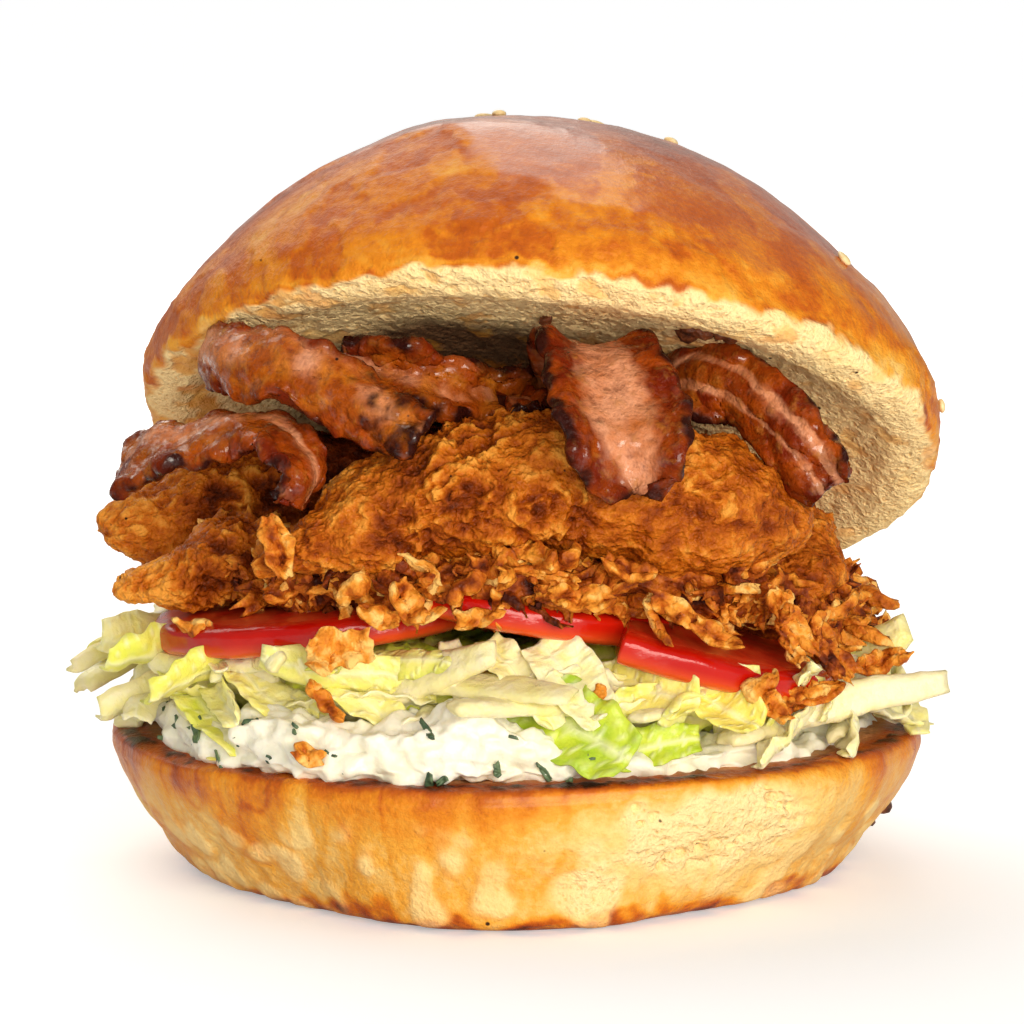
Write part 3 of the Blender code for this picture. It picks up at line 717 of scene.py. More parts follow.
@once
def bread(name, colours):
    """Baked crust by its bake number, from pale through gold and brown to burnt, over porous crumb."""
    finish = Finish(name, Specular_IOR_Level=0.09, Coat_Roughness=0.2, Coat_IOR=1.5)
    tree = finish.tree
    patches = finish.mottle(90, 0.3, 0.7)
    fine = finish.mottle(900, 0.3, 0.7)
    bake = finish.value("bake")
    share = plus(tree, bake, spread(tree, patches, -0.07, 0.07))
    share = plus(tree, share, spread(tree, fine, -0.055, 0.055))
    crust = ramp(tree, share, (
        (0.0, (0.88, 0.60, 0.20)), (0.18, (0.82, 0.38, 0.045)), (0.36, (0.72, 0.235, 0.013)),
        (0.52, (0.52, 0.115, 0.009)), (0.68, (0.37, 0.066, 0.008)), (0.84, (0.15, 0.027, 0.006)),
        (1.0, (0.03, 0.009, 0.004)),
    ))
    crumb_share = finish.value("crumb")
    holes = finish.pores(1050)
    # Painted shade: the crumb takes the darker hollows colour deep in its pores
    pale = blended(tree, between(tree, holes, 0.7, 1.15), colours.crumb_shade, colours.crumb)
    gold = finish.mottle(160, 0.52, 0.72)
    pale = blended(tree, times(tree, gold, 0.4), pale, (0.84, 0.50, 0.14))
    # Painted shade: the crumb face darkens to near black where it lies deep under the filling
    pale = blended(tree, times(tree, finish.value("deep_shade"), 0.93), pale, (0.085, 0.022, 0.008))
    colour = blended(tree, crumb_share, crust, pale)
    colour = blended(tree, finish.specks(260, 0.10, 0.07), colour, (0.05, 0.02, 0.01))
    roughness = spread(tree, crumb_share, 0.33, 0.9)
    coat = spread(tree, crumb_share, 0.62, 0.0)
    finish.set(
        Base_Color=colour,
        Roughness=plus(tree, roughness, spread(tree, fine, -0.06, 0.06)),
        Coat_Weight=times(tree, finish.value("gloss"), coat),
    )
    crinkled = plus(tree, finish.mottle(1600, 0.2, 0.8), finish.mottle(420, 0.2, 0.8))
    skin = times(tree, crinkled, spread(tree, crumb_share, 0.34, 0))
    torn = times(tree, holes, spread(tree, crumb_share, 0, 0.65))
    finish.bumpy(plus(tree, torn, skin), 0.6 * MM, 0.9)
    return finish.material


@once
def cream_sauce(name, colours):
    """Thick white sauce that light enters, a little greasy, with a faint yellow shade in patches."""
    finish = Finish(name, Specular_IOR_Level=0.5, Subsurface_Weight=0.3, Subsurface_Radius=(1.0, 0.85, 0.6),
                    Subsurface_Scale=1.4 * MM)
    tree = finish.tree
    yellow = finish.mottle(140, 0.42, 0.75)
    colour = blended(tree, times(tree, yellow, 0.55), colours.sauce, (0.93, 0.84, 0.52))
    colour = blended(tree, finish.specks(520, 0.14, 0.05), colour, (0.05, 0.10, 0.04))
    finish.set(Base_Color=colour, Roughness=spread(tree, finish.mottle(260), 0.22, 0.5))
    finish.bumpy(finish.mottle(900, 0.2, 0.8), 0.25 * MM, 0.5)
    return finish.material


@once
def lettuce_leaf(name, colours):
    """Leaf from white rib to green blade by its green number, yellow by its yellow number, with veins."""
    finish = Finish(name, Specular_IOR_Level=0.4, Subsurface_Weight=0.25, Subsurface_Radius=(0.9, 1.0, 0.3),
                    Subsurface_Scale=1.3 * MM)
    tree = finish.tree
    green = plus(tree, finish.value("green"), spread(tree, finish.mottle(220), -0.10, 0.12))
    leaf = ramp(tree, green, (
        (0.0, (0.95, 0.88, 0.56)), (0.3, (0.90, 0.84, 0.25)), (0.6, (0.68, 0.76, 0.06)),
        (1.0, (0.30, 0.52, 0.02)),
    ))
    colour = blended(tree, finish.value("yellow"), leaf, colours.lettuce_heart)
    colour = blended(tree, times(tree, finish.value("vein"), 0.6), colour, (0.88, 0.88, 0.62))
    colour = blended(tree, times(tree, finish.value("cut"), 0.5), colour, (0.70, 0.55, 0.22))
    finish.set(Base_Color=colour, Roughness=spread(tree, finish.mottle(300), 0.25, 0.5))
    finish.bumpy(plus(tree, finish.mottle(700, 0.2, 0.8), finish.value("vein")), 0.35 * MM, 0.6)
    return finish.material


@once
def tomato_slice(name, colours):
    """Wet red flesh with paler patches on its faces, and a deeper glossy skin round it."""
    finish = Finish(name, Specular_IOR_Level=0.4)
    tree = finish.tree
    flesh = blended(tree, finish.mottle(260), (0.50, 0.010, 0.002), (0.64, 0.06, 0.015))
    skin = blended(tree, finish.mottle(60), colours.tomato, (0.56, 0.012, 0.002))
    skin = blended(tree, times(tree, finish.value("orange"), 0.8), skin, (0.85, 0.13, 0.02))
    colour = blended(tree, finish.value("skin"), flesh, skin)
    finish.set(Base_Color=colour, Roughness=spread(tree, finish.value("skin"), 0.3, 0.16))
    finish.bumpy(finish.mottle(500, 0.2, 0.8), 0.2 * MM, 0.3)
    return finish.material


@once
def crisp_onion(name, colours):
    """Fried onion by its tone number, from dark brown to gold, blistered and dry with a trace of oil."""
    finish = Finish(name, Specular_IOR_Level=0.2)
    tree = finish.tree
    tone = plus(tree, finish.value("tone"), spread(tree, finish.mottle(330), -0.22, 0.22))
    colour = ramp(tree, tone, (
        (0.0, (0.05, 0.006, 0.001)), (0.27, (0.22, 0.034, 0.002)), (0.52, (0.52, 0.125, 0.007)),
        (0.78, (0.80, 0.30, 0.030)), (1.0, (0.92, 0.56, 0.16)),
    ))
    finish.set(Base_Color=colour, Roughness=spread(tree, finish.mottle(500), 0.38, 0.7))
    finish.bumpy(finish.pores(800), 0.45 * MM, 0.8)
    return finish.material


@once
def craggy_batter(name, colours):
    """Craggy batter: dark in its hollows, golden on its crests, with toasted patches and pepper."""
    finish = Finish(name, Specular_IOR_Level=0.14)
    tree = finish.tree
    height = plus(tree, finish.value("rise"), spread(tree, finish.mottle(420), -0.2, 0.2))
    colour = ramp(tree, height, (
        (0.0, (0.06, 0.008, 0.001)), (0.26, (0.20, 0.031, 0.001)), (0.50, (0.37, 0.075, 0.003)),
        (0.74, (0.57, 0.150, 0.008)), (1.0, (0.78, 0.31, 0.04)),
    ))
    toasted = finish.mottle(85, 0.52, 0.70)
    colour = blended(tree, times(tree, toasted, 0.2), colour, colours.batter_dark)
    colour = blended(tree, finish.specks(460, 0.13, 0.08), colour, (0.04, 0.012, 0.004))
    finish.set(Base_Color=colour, Roughness=spread(tree, finish.mottle(240), 0.25, 0.6))
    finish.bumpy(finish.pores(820), 0.5 * MM, 0.9)
    return finish.material


@once
def streaky_bacon(name, colours):
    """Bacon: clear fat, red-brown lean, crisp gold and char, by the numbers that carry these names."""
    finish = Finish(name, Specular_IOR_Level=0.06, Coat_Roughness=0.08)
    tree = finish.tree
    fat = blended(tree, finish.mottle(200, 0.42, 0.72), colours.bacon_fat, (0.50, 0.14, 0.035))
    lean = blended(tree, finish.mottle(200, 0.42, 0.66), colours.bacon_lean, (0.36, 0.058, 0.003))
    uneven = spread(tree, finish.mottle(330), -0.18, 0.18)
    colour = blended(tree, plus(tree, finish.value("lean"), uneven), fat, lean)
    gold = blended(tree, finish.mottle(260, 0.45, 0.7), colours.bacon_gold, (0.56, 0.17, 0.012))
    colour = blended(tree, finish.value("gold"), colour, gold)
    crinkles = times(tree, finish.mottle(1150, 0.2, 0.8), 0.5)
    crinkles = plus(tree, finish.mottle(420, 0.2, 0.8), crinkles)
    # Painted shade: darker in the crinkles' hollows
    colour = blended(tree, between(tree, crinkles, 0.30, 0.70, 0.65, 0), colour, (0.11, 0.014, 0.002))
    # Painted highlight: paler gold on the crinkles' crests
    colour = blended(tree, between(tree, crinkles, 0.85, 1.25, 0, 0.45), colour, (0.68, 0.26, 0.04))
    char = plus(tree, finish.value("char"), spread(tree, finish.mottle(420), -0.25, 0.2))
    colour = blended(tree, char, colour, (0.03, 0.005, 0.003))
    colour = blended(tree, finish.specks(420, 0.13, 0.06), colour, (0.03, 0.012, 0.008))
    finish.set(
        Base_Color=colour,
        Roughness=spread(tree, finish.mottle(320), 0.12, 0.36),
        Coat_Weight=finish.mottle(620, 0.50, 0.64),
    )
    finish.bumpy(crinkles, 0.55 * MM, 0.85)
    return finish.material


@once
def sesame(name, colours):
    """Cream seed with darker patches."""
    finish = Finish(name, Specular_IOR_Level=0.5, Roughness=0.4)
    finish.set(Base_Color=blended(finish.tree, finish.mottle(700), (0.80, 0.55, 0.22), (0.92, 0.76, 0.42)))
    finish.bumpy(finish.mottle(1500), 0.1 * MM, 0.5)
    return finish.material


@once
def burnt_bits(name, colours):
    """Charred brown scrap."""
    finish = Finish(name, Specular_IOR_Level=0.5, Roughness=0.45)
    finish.set(Base_Color=blended(finish.tree, finish.mottle(500), (0.03, 0.010, 0.006), (0.20, 0.05, 0.012)))
    finish.bumpy(finish.pores(900), 0.4 * MM, 0.8)
    return finish.material


@once
def chopped_herb(name, colours):
    """Dark green chopped herb, wet with sauce."""
    finish = Finish(name, Specular_IOR_Level=0.5, Roughness=0.35)
    finish.set(Base_Color=blended(finish.tree, finish.mottle(600), (0.03, 0.07, 0.035), (0.14, 0.21, 0.10)))
    finish.bumpy(finish.mottle(1300), 0.15 * MM, 0.5)
    return finish.material


@once
def studio_floor(name, colours):
    """Plain white floor that also glows to the camera, the more so the farther it is from the burger."""
    finish = Finish(name, Roughness=0.9, Specular_IOR_Level=0.1, Emission_Color=(1, 1, 1, 1))
    tree = finish.tree
    finish.set(Base_Color=blended(tree, finish.mottle(8), colours.floor, np.multiply(colours.floor, 0.99)))
    seen = put(tree, "ShaderNodeLightPath").outputs["Is Camera Ray"]
    away = put(tree, "ShaderNodeVectorMath", {0: finish.place}, operation="LENGTH").outputs["Value"]
    links = {"Value": away, "From Min": 0.08, "From Max": 0.85, "To Min": 0.48}
    glow = put(tree, "ShaderNodeMapRange", links, interpolation_type="SMOOTHSTEP").outputs[0]
    finish.set(Emission_Strength=times(tree, seen, times(tree, glow, 0.75)))
    return finish.material


# Settings


def shade(name, description, default):
    """A colour's setting."""
    texts = {"name": name, "description": description}
    return FloatVectorProperty(**texts, subtype="COLOR", size=3, min=0, max=1, default=default)


def length(name, description, default):
    """A length's setting."""
    return FloatProperty(name=name, description=description, unit="LENGTH", default=default, min=0)


def power(name, description, default):
    """A light's power."""
    return FloatProperty(name=name, description=description, subtype="POWER", default=default, min=0)


def number(name, description, default):
    """A count of pieces."""
    return IntProperty(name=name, description=description, default=default, min=0)


class BurgerColours(bpy.types.PropertyGroup):
    crumb: shade("Crumb", "Soft inside of the bun", (1.0, 0.75, 0.37))
    # Painted shade: the colour that the crumb's pores are darkened to
    crumb_shade: shade("Crumb hollows", "Pores of the soft inside", (0.96, 0.60, 0.24))
    sauce: shade("Sauce", "Herb sauce", (0.95, 0.92, 0.78))
    lettuce_heart: shade("Lettuce heart", "Yellow leaves from the heart", (0.86, 0.74, 0.12))
    tomato: shade("Tomato", "Skin of the tomato", (0.46, 0.003, 0.001))
    batter_dark: shade("Toasted batter", "Darkest patches of the fried coating", (0.19, 0.030, 0.003))
    bacon_fat: shade("Bacon fat", "Clear fat in the bacon", (0.72, 0.31, 0.165))
    bacon_gold: shade("Bacon gold", "Crisp golden parts of the bacon", (0.33, 0.062, 0.003))
    bacon_lean: shade("Bacon lean", "Lean meat in the bacon", (0.15, 0.012, 0.002))
    floor: shade("Floor", "Studio floor", (0.84, 0.86, 0.90))


class BurgerSizes(bpy.types.PropertyGroup):
    crust_wrinkle: length("Wrinkle", "Depth of the wrinkles in the heel's wall", 0.55 * MM)
    crumb_relief: length("Crumb relief", "Height of the crumb's tears", 0.9 * MM)
    batter_relief: length("Batter relief", "Height of the batter's crags", 1.25 * MM)
    bacon_thickness: length("Bacon thickness", "Thickness of a rasher", 1.9 * MM)
    slice_thickness: length("Slice thickness", "Thickness of a tomato slice", 5.8 * MM)
    seed_length: length("Seed length", "Length of a sesame seed", 3.2 * MM)
    lettuce_strips: number("Lettuce strips", "Loose strips in the heap", 120)
    onion_flakes: number("Onion flakes", "Loose flakes in the heap", 380)


class BurgerStudio(bpy.types.PropertyGroup):
    camera_height: FloatProperty(name="Camera angle", description="Angle above the table", subtype="ANGLE",
                                 default=math.radians(7.5))
    camera_distance: length("Camera distance", "From the burger's middle", 0.750)
    warmth: shade("Warmth", "Colour of the studio lights", (1.0, 0.93, 0.82))
    lens: FloatProperty(name="Lens", description="Focal length in millimetres", default=185.625, min=1)
    surround: FloatProperty(name="Surround", description="Strength of the surround", default=0.30, min=0)
    key: power("Top light", "Power of the large soft box above", 8.4)
    back: power("Back light", "Power of the wide soft box low behind", 0.7)
    fill: power("Fill light", "Power of the soft box in front", 10.2)


# Operators


class PieceOperator:
    """What every piece's operator shares: the burger's colours and sizes."""

    bl_options = {"REGISTER", "UNDO"}

    def execute(self, context):
        self.build(context.scene.burger_sizes, context.scene.burger_colours)
        return {"FINISHED"}


class BURGER_OT_heel(PieceOperator, bpy.types.Operator):
    """Bottom half of the bun: wrinkled golden wall, toasted rim, a torn pale patch at the front right"""

    bl_idname = "burger.heel"
    bl_label = "Bun heel"

    def build(self, sizes, colours):
        arounds = crowded(520, FRONT, 0.35)
        downs = stretches((0.01, 0.30, 22), (0.30, 0.745, 146), (0.745, 0.99, 12))

        def relief(points, around, down):
            x, y, z = np.moveaxis(points, -1, 0)
            share = down / math.pi
            height = z / HEEL_HEIGHT
            wall = smooth(0.335, 0.37, share) * (1 - smooth(0.70, 0.735, share))
            tall = points * (1, 1, 0.2)
            folds = noise.fractal(tall + 0.5, 9 * MM, 3)
            warped = tall + 2.0 * MM * noise(points + 5.0, 6 * MM)[..., None]
            creases = np.exp(-(detail(warped + 0.9, 9 * MM) / 0.04) ** 2) * smooth(0.8, 0.4, height)
            dimples = smooth(0.42, 0.15, detail.cells(points * (1, 1, 0.8) + 0.2, 5 * MM))
            dimples = dimples * smooth(0.8, 0.5, height)
            bubbles = detail.cells(warped * (1, 1, 3.5) + 0.6, 6.5 * MM)
            low = smooth(0.75, 0.45, height + 0.3 * noise(points + 2.6, 12 * MM))
            pale = smooth(0.60, 0.32, bubbles) * low
            outline = np.exp(-((bubbles - 0.49) / 0.045) ** 2) * low
            angle = np.arctan2(y, x)
            torn = np.hypot((angle - math.radians(-61)) / math.radians(17), (z / MM - 13.0) / 6.2)
            halo = smooth(1.9, 0.9, torn) * wall
            torn = smooth(1.15, 0.7, torn + 0.5 * noise.fractal(points, 6 * MM, 3)) * wall
            low_patch = np.hypot((angle - math.radians(-80)) / math.radians(6), (z / MM - 5.5) / 3.4)
            low_patch = smooth(1.1, 0.6, low_patch + 0.5 * noise(points + 1.3, 4 * MM)) * wall
            pits = smooth(0.55, 0.2, detail.cells(points + 0.7, 2.1 * MM))
            pits = pits * smooth(0.0, 0.25, noise.fractal(points + 1.9, 7 * MM, 2) + 0.08)
            face = smooth(0.34, 0.325, share)
            rough = detail.fractal(points, 2.2 * MM, 3)
            rim_ring = np.exp(-((share - 0.345) / 0.02) ** 2)
            move = (
                wall * sizes.crust_wrinkle * (1.2 * folds - 0.25 * creases - 0.6 * dimples + 0.35 * pale)
                - torn * (0.5 * MM + 1.3 * MM * pits - 0.45 * MM * rough)
                - low_patch * (0.25 * MM + 0.3 * MM * pits)
                + (face + 0.7 * rim_ring) * 0.5 * MM * rough
            )
            foot = smooth(0.17, 0.02, height + 0.22 * noise.fractal(points + 9.0, 5 * MM, 2)) * (share > 0.5)
            drip = smooth(0.45, 1.15, height + 0.55 * noise.fractal(tall + 2.0, 9 * MM, 3))
            streak = np.exp(-(noise(points * (1, 1, 0.12) + 8.0, 5 * MM) / 0.06) ** 2)
            streak = streak * smooth(0.1, 0.6, height)
            bake = 0.17 + 0.12 * folds + 0.36 * drip + 0.04 * creases
            bake = bake - 0.12 * pale + 0.07 * outline + 0.13 * streak
            right = bump(angle, 0, (math.radians(-38), 0), (0.42, 1.0))
            left = bump(angle, 0, (math.radians(-128), 0), (0.4, 1.0))
            bake = bake - 0.11 * right - 0.07 * left + 0.05 * rough
            bake = bake * (1 - 0.85 * halo)
            bake = bake + rim_ring * (0.32 + 0.5 * noise.fractal(points + 4.0, 9 * MM, 2) + 0.4 * rough)
            bake = bake + foot * (0.42 + 0.7 * noise(points + 6.0, 3 * MM))
            bake = np.where(share < 0.34, 0.66 + 0.25 * noise.fractal(points, 8 * MM, 3) + 0.12 * rough, bake)
            # Painted reflection: a narrow patch on the wall's left side is browned to stand in for a
            # reflection, and also given more gloss
            reflection_patch = bump(angle, z, (math.radians(-140), 17 * MM), (0.09, 2.2 * MM))
            bake = bake + 0.22 * reflection_patch
            crumb = np.clip(torn + 0.7 * low_patch + 0.45 * pale * wall, 0, 1) + face * 0.25
            gloss = 0.35 * wall * (1 - torn) + 0.3 * reflection_patch
            return move, {"bake": bake, "crumb": crumb, "gloss": gloss, "deep_shade": 0 * bake}

        arrays = round_arrays(arounds, downs, heel_shape, relief)
        arrays[0][:, 2] = np.maximum(arrays[0][:, 2], 0)
        new_piece("bun_heel_crust", arrays, bread(colours), ["bun_heel"])


class BURGER_OT_crown(PieceOperator, bpy.types.Operator):
    """Top half of the bun: glossy brown dome, orange towards its edge, over a torn porous crumb face"""

    bl_idname = "burger.crown"
    bl_label = "Bun crown"

    def build(self, sizes, colours):
        arounds = crowded(430, FRONT, 0.5)
        downs = stretches((0.012, 0.22, 28), (0.22, 0.56, 74), (0.56, 0.80, 96), (0.80, 0.985, 24))

        def relief(points, around, down):
            x, y, z = np.moveaxis(points, -1, 0)
            share = down / math.pi
            degrees = np.degrees((around + math.pi) % (2 * math.pi) - math.pi)
            edge = np.interp(degrees, *np.transpose(CROWN_RIM))
            edge = edge + 0.016 * noise.fractal(points * (1, 1, 0.4) + 1.0, 8 * MM, 3)
            edge = edge + 0.012 * detail.fractal(points + 1.0, 2.6 * MM, 2)
            crumb = smooth(edge, edge + 0.008, share)
            # Painted shade: beyond this limit the crumb face lies deep under the filling and is darkened
            limit = 0.735 + 0.075 * smooth(-22 * MM, 8 * MM, x)
            limit = limit + 0.02 * noise.fractal(points + 14.0, 9 * MM, 2)
            shade_inward = smooth(0.0, 0.07, share - limit)
            tears = noise.fractal(points + 2.0, 7 * MM, 3)
            pits = smooth(0.5, 0.15, detail.cells(points + 0.4, 2.6 * MM))
            grain = detail.fractal(points + 0.8, 1.5 * MM, 2)
            lip = np.exp(-((share - edge) / 0.006) ** 2)
            dents = noise.fractal(points + 7.0, 16 * MM, 3)
            front_left = bump(x, y, mm(-20, -46), mm(19, 18)) + 0.6 * bump(x, y, mm(8, -52), mm(30, 12))
            blister = smooth(0.02, 0.14, noise.fractal(points + 9.0, 9 * MM, 4) + 0.12 * front_left - 0.05)
            broad = noise.fractal(points + 3.0, 20 * MM, 3)
            orange = smooth(0.30, 0.52, share + 0.16 * front_left + 0.10 * broad)
            matt = bump(x, y, mm(-24, -44), mm(17, 17)) + 0.9 * bump(x, y, mm(-43, -34), mm(19, 21))
            frayed = detail.fractal(points, 5 * MM, 3)
            patch = smooth(0.51, 0.55, share + 0.20 * matt + 0.09 * dents + 0.05 * frayed)
            wrinkled = detail.fractal(points + 5.5, 2.4 * MM, 2) * (0.5 + patch)
            move = (
                crumb * sizes.crumb_relief * (0.45 * tears - 0.35 * pits + 0.5 * grain)
                + (1 - crumb) * (0.55 * MM * dents - 0.28 * MM * patch * (1 - blister) + 0.16 * MM * wrinkled)
                + 0.25 * MM * lip
            )
            mottled = noise.fractal(points + 4.0, 11 * MM, 3)
            # Painted light: the crust is paler towards the right, where the light falls more strongly
            bake = 0.71 - 0.05 * smooth(0, 30 * MM, x) - 0.16 * orange - 0.05 * patch
            bake = bake + 0.20 * mottled - 0.10 * blister * patch + 0.10 * wrinkled * patch
            bake = bake - 0.13 * smooth(0.10, 0.22, noise.fractal(points + 17.0, 10 * MM, 4)) * (1 - patch)
            wide = 0.012 + 0.034 * smooth(-0.1, 0.55, noise(points + 12.0, 22 * MM) + 0.55 * x / CROWN_RADIUS)
            golden = smooth(edge - wide, edge - 0.004, share)
            bake = bake * (1 - golden) + (0.24 + 0.30 * noise.fractal(points + 6.0, 5 * MM, 3)) * golden
            bake = bake + 0.25 * lip * smooth(0.0, 0.2, noise.fractal(points + 8.0, 10 * MM, 2))
            gloss = (1 - 0.95 * patch) * (1 - golden)
            left = smooth(-30 * MM, -46 * MM, x)
            stained = smooth(0.16, 0.3, noise.fractal(points + 11.0, 6 * MM, 3) + 0.22 * left)
            crumb = crumb * (1 - stained * (0.5 + 0.3 * left))
            return move, {"bake": bake, "crumb": crumb, "gloss": gloss, "deep_shade": shade_inward}

        points, *rest = round_arrays(arounds, downs, crown_shape, relief)
        arrays = place_crown(points), *rest
        new_piece("bun_crown_crust", arrays, bread(colours), ["bun_crown"])


# Sesame seeds on the crown, as degrees around it, degrees down along its profile and degrees of turn
SEEDS = (
    (-118, 31, 20), (-111, 34, 100), (-84, 31, 60), (-80, 30, 5), (-57, 35, 40), (-38, 78, 80), (-10, 98, 10),
    (60, 30, 50), (140, 42, 120), (-170, 38, 0),
)


class BURGER_OT_seeds(PieceOperator, bpy.types.Operator):
    """Sesame seeds: flat drops lying on the crown"""

    bl_idname = "burger.seeds"
    bl_label = "Sesame seeds"

    def build(self, sizes, colours):
        long = sizes.seed_length

        def drop(around, down):
            """x = cos(down) / 2, and y and z are sin(down) (1 - 0.35 cos(down)) round a flat ellipse."""
            girth = np.sin(down) * (1 - 0.35 * np.cos(down))
            across, high = girth * np.cos(around) * 0.30, girth * np.sin(around) * 0.16
            return ring(np.cos(down) * 0.5, across, high, 0) * long

        flat, quads, triangles, _ = round_arrays(
            crowded(14, 0, 0), stretches((0.06, 1.0, 12)), drop, lambda p, a, d: (0 * a, {})
        )
        parts = []
        for around, down, turn in SEEDS:
            spots = np.radians([[around, down], [around + 1, down], [around, down + 1]])
            spot, beside, below = crown_shape(spots[:, 0], spots[:, 1])
            out = unit(np.cross(below - spot, beside - spot))
            along = turned(out, np.radians(turn)) @ unit(beside - spot)
            basis = np.stack([along, np.cross(out, along), out], axis=-1)
            parts.append((place_crown(flat @ basis.T + spot + out * 0.3 * MM), quads, triangles, {}))
        new_piece("sesame_seeds", joined(*parts), sesame(colours), [])


class BURGER_OT_sauce(PieceOperator, bpy.types.Operator):
    """Herb sauce: smeared white lobes over the heel's front edge"""

    bl_idname = "burger.sauce"
    bl_label = "Herb sauce"

    def build(self, sizes, colours):
        arounds = crowded(460, FRONT, 0.6)
        downs = stretches((0.02, 0.16, 8), (0.16, 0.64, 130), (0.64, 0.98, 14))

        def relief(points, around, down):
            smear = noise.fractal(points * (0.7, 1, 1.3) + 0.4, 7 * MM, 3)
            folds = noise.ridges(points * (1, 1, 1.4) + 1.4, 6.5 * MM, 2) - 0.75
            grain = detail.fractal(points + 0.6, 1.8 * MM, 2)
            curds = smooth(0.6, 0.1, detail.cells(points + 1.6, 3.4 * MM))
            move = (2.2 * smear + 1.0 * folds + 0.6 * curds - 0.2 + 0.4 * grain) * MM
            return move * smooth(0.10, 0.2, down / math.pi), {}

        arrays = round_arrays(arounds, downs, sauce_shape, relief)
        new_piece("herb_sauce_lobes", arrays, cream_sauce(colours), ["herb_sauce"])


def strips(rows, columns, start, heading, roll, size, droop, curl, ruffle, taper, seed):
    """Middle surfaces of strips.

    P(s, w) = start + heading L s - z droop s^2 + side W w taper(s) + face (4 curl w^2 + ruffle n),
    where the side is level, turned about the heading by the roll, and n is noise, strongest at the edges.
    """
    s = np.linspace(0, 1, rows)[None, :, None]
    w = np.linspace(-0.5, 0.5, columns)[None, None, :]
    heading = unit(heading)
    level = unit(np.cross([0.0, 0.0, 1.0], heading))
    side = np.einsum("nij,nj->ni", turned(heading, roll), level)
    face = np.cross(heading, side)
    long, wide = (size[:, k][:, None, None] for k in (0, 1))
    outline = 1 - (1 - taper) * (1 - np.sin(math.pi * np.clip(s * 0.92 + 0.06, 0, 1)) ** 0.6)
    lane = np.arange(len(start))[:, None, None] * 7.3 + seed
    edge = ring(s * long / MM, np.sign(w) * 3, lane, 0)
    wobble = detail(edge, 2.7) * np.abs(2 * w) ** 1.5
    ragged = 1 + 0.22 * detail(edge + 9.1, 2.2)
    crinkle = detail.fractal(ring(s * long / MM, w * wide / MM, lane, 0), 3.4, 2)
    sway = 2.2 * noise(ring(s * long / MM, 0.0, lane, 5.0), 9.0) * s
    rise = curl[:, None, None] * (4 * w ** 2) + ruffle[:, None, None] * (1.6 * wobble + 0.7 * crinkle)
    return (
        start[:, None, None]
        + heading[:, None, None] * (long * s)[..., None]
        - np.array([0, 0, 1.0]) * (droop[:, None, None] * s ** 2 + 0 * w)[..., None]
        + side[:, None, None] * (wide * w * outline * ragged + sway * MM)[..., None]
        + face[:, None, None] * rise[..., None]
    )


# Lettuce that stands out: start, heading, length, width, droop and curl in millimetres,
# roll in degrees, thickness in millimetres, green, yellow
SHREDS = (
    ((-23, -38, 28), (19, -12, 9), 26, 5.6, 0, 0.3, 60, 2.4, 0.02, 0.0),
    ((-9, -43, 38), (5, -8, -12), 16, 4.2, 0, 0.5, 10, 1.6, 0.06, 0.0),
    ((-4, -43, 38), (9, -7, -10), 16, 5.5, 0, 1.5, 30, 0.9, 0.12, 0.0),
    ((3, -44, 38), (9, -6, -9), 14, 8.5, 1, 1.8, 40, 0.8, 0.16, 0.05),
    ((-1, -44, 32), (16, -9, -9), 21, 11.5, -1, 1.8, 62, 0.8, 0.76, 0.0),
    ((9, -49, 23.5), (16, 3, 1), 16, 6.0, -1, 1.2, 70, 0.8, 0.66, 0.0),
    ((12, -43, 32), (15, -7, -1), 14, 8.0, 0, 2.4, 60, 0.8, 0.22, 0.75),
    ((24, -43, 31), (8, -6, -4), 11, 7.0, 0, 2.2, 40, 0.8, 0.25, 0.9),
    ((27, -37, 25), (32, 14, 4), 36, 5.0, 0, 0.3, 80, 2.4, 0.0, 0.0),
    ((41, -33, 29), (-9, -11, -9), 16, 4.0, 0, 1.2, 20, 0.9, 0.05, 0.0),
    ((-45, -10, 32), (-13, -5, 3), 14, 7.5, 1, 1.8, 70, 0.9, 0.30, 0.0),
    ((-40, -21, 34), (-17, -9, 1), 18, 7.5, 2, 1.8, 50, 0.9, 0.45, 0.15),
    ((-34, -29, 35), (-16, -11, -4), 19, 8.0, 2, 1.6, 40, 0.9, 0.35, 0.30),
    ((-45, -14, 28), (-12, -5, -3), 14, 7.0, 1, 1.5, 50, 1.2, 0.10, 0.0),
    ((-47, -24, 31), (10, -16, -7), 20, 6.5, 2, 1.6, 30, 0.9, 0.50, 0.10),
    ((-38, -35, 33), (12, -9, -8), 17, 6.5, 1, 1.6, 30, 0.9, 0.20, 0.25),
    ((-28, -40, 34), (12, -5, -5), 15, 6.5, 1, 1.6, 40, 0.9, 0.14, 0.05),
    ((46, -14, 30), (8, -3, 5), 11, 6.0, 0, 0.6, 60, 3.0, 0.14, 0.0),
)
LEAF_GRID = (30, 9)


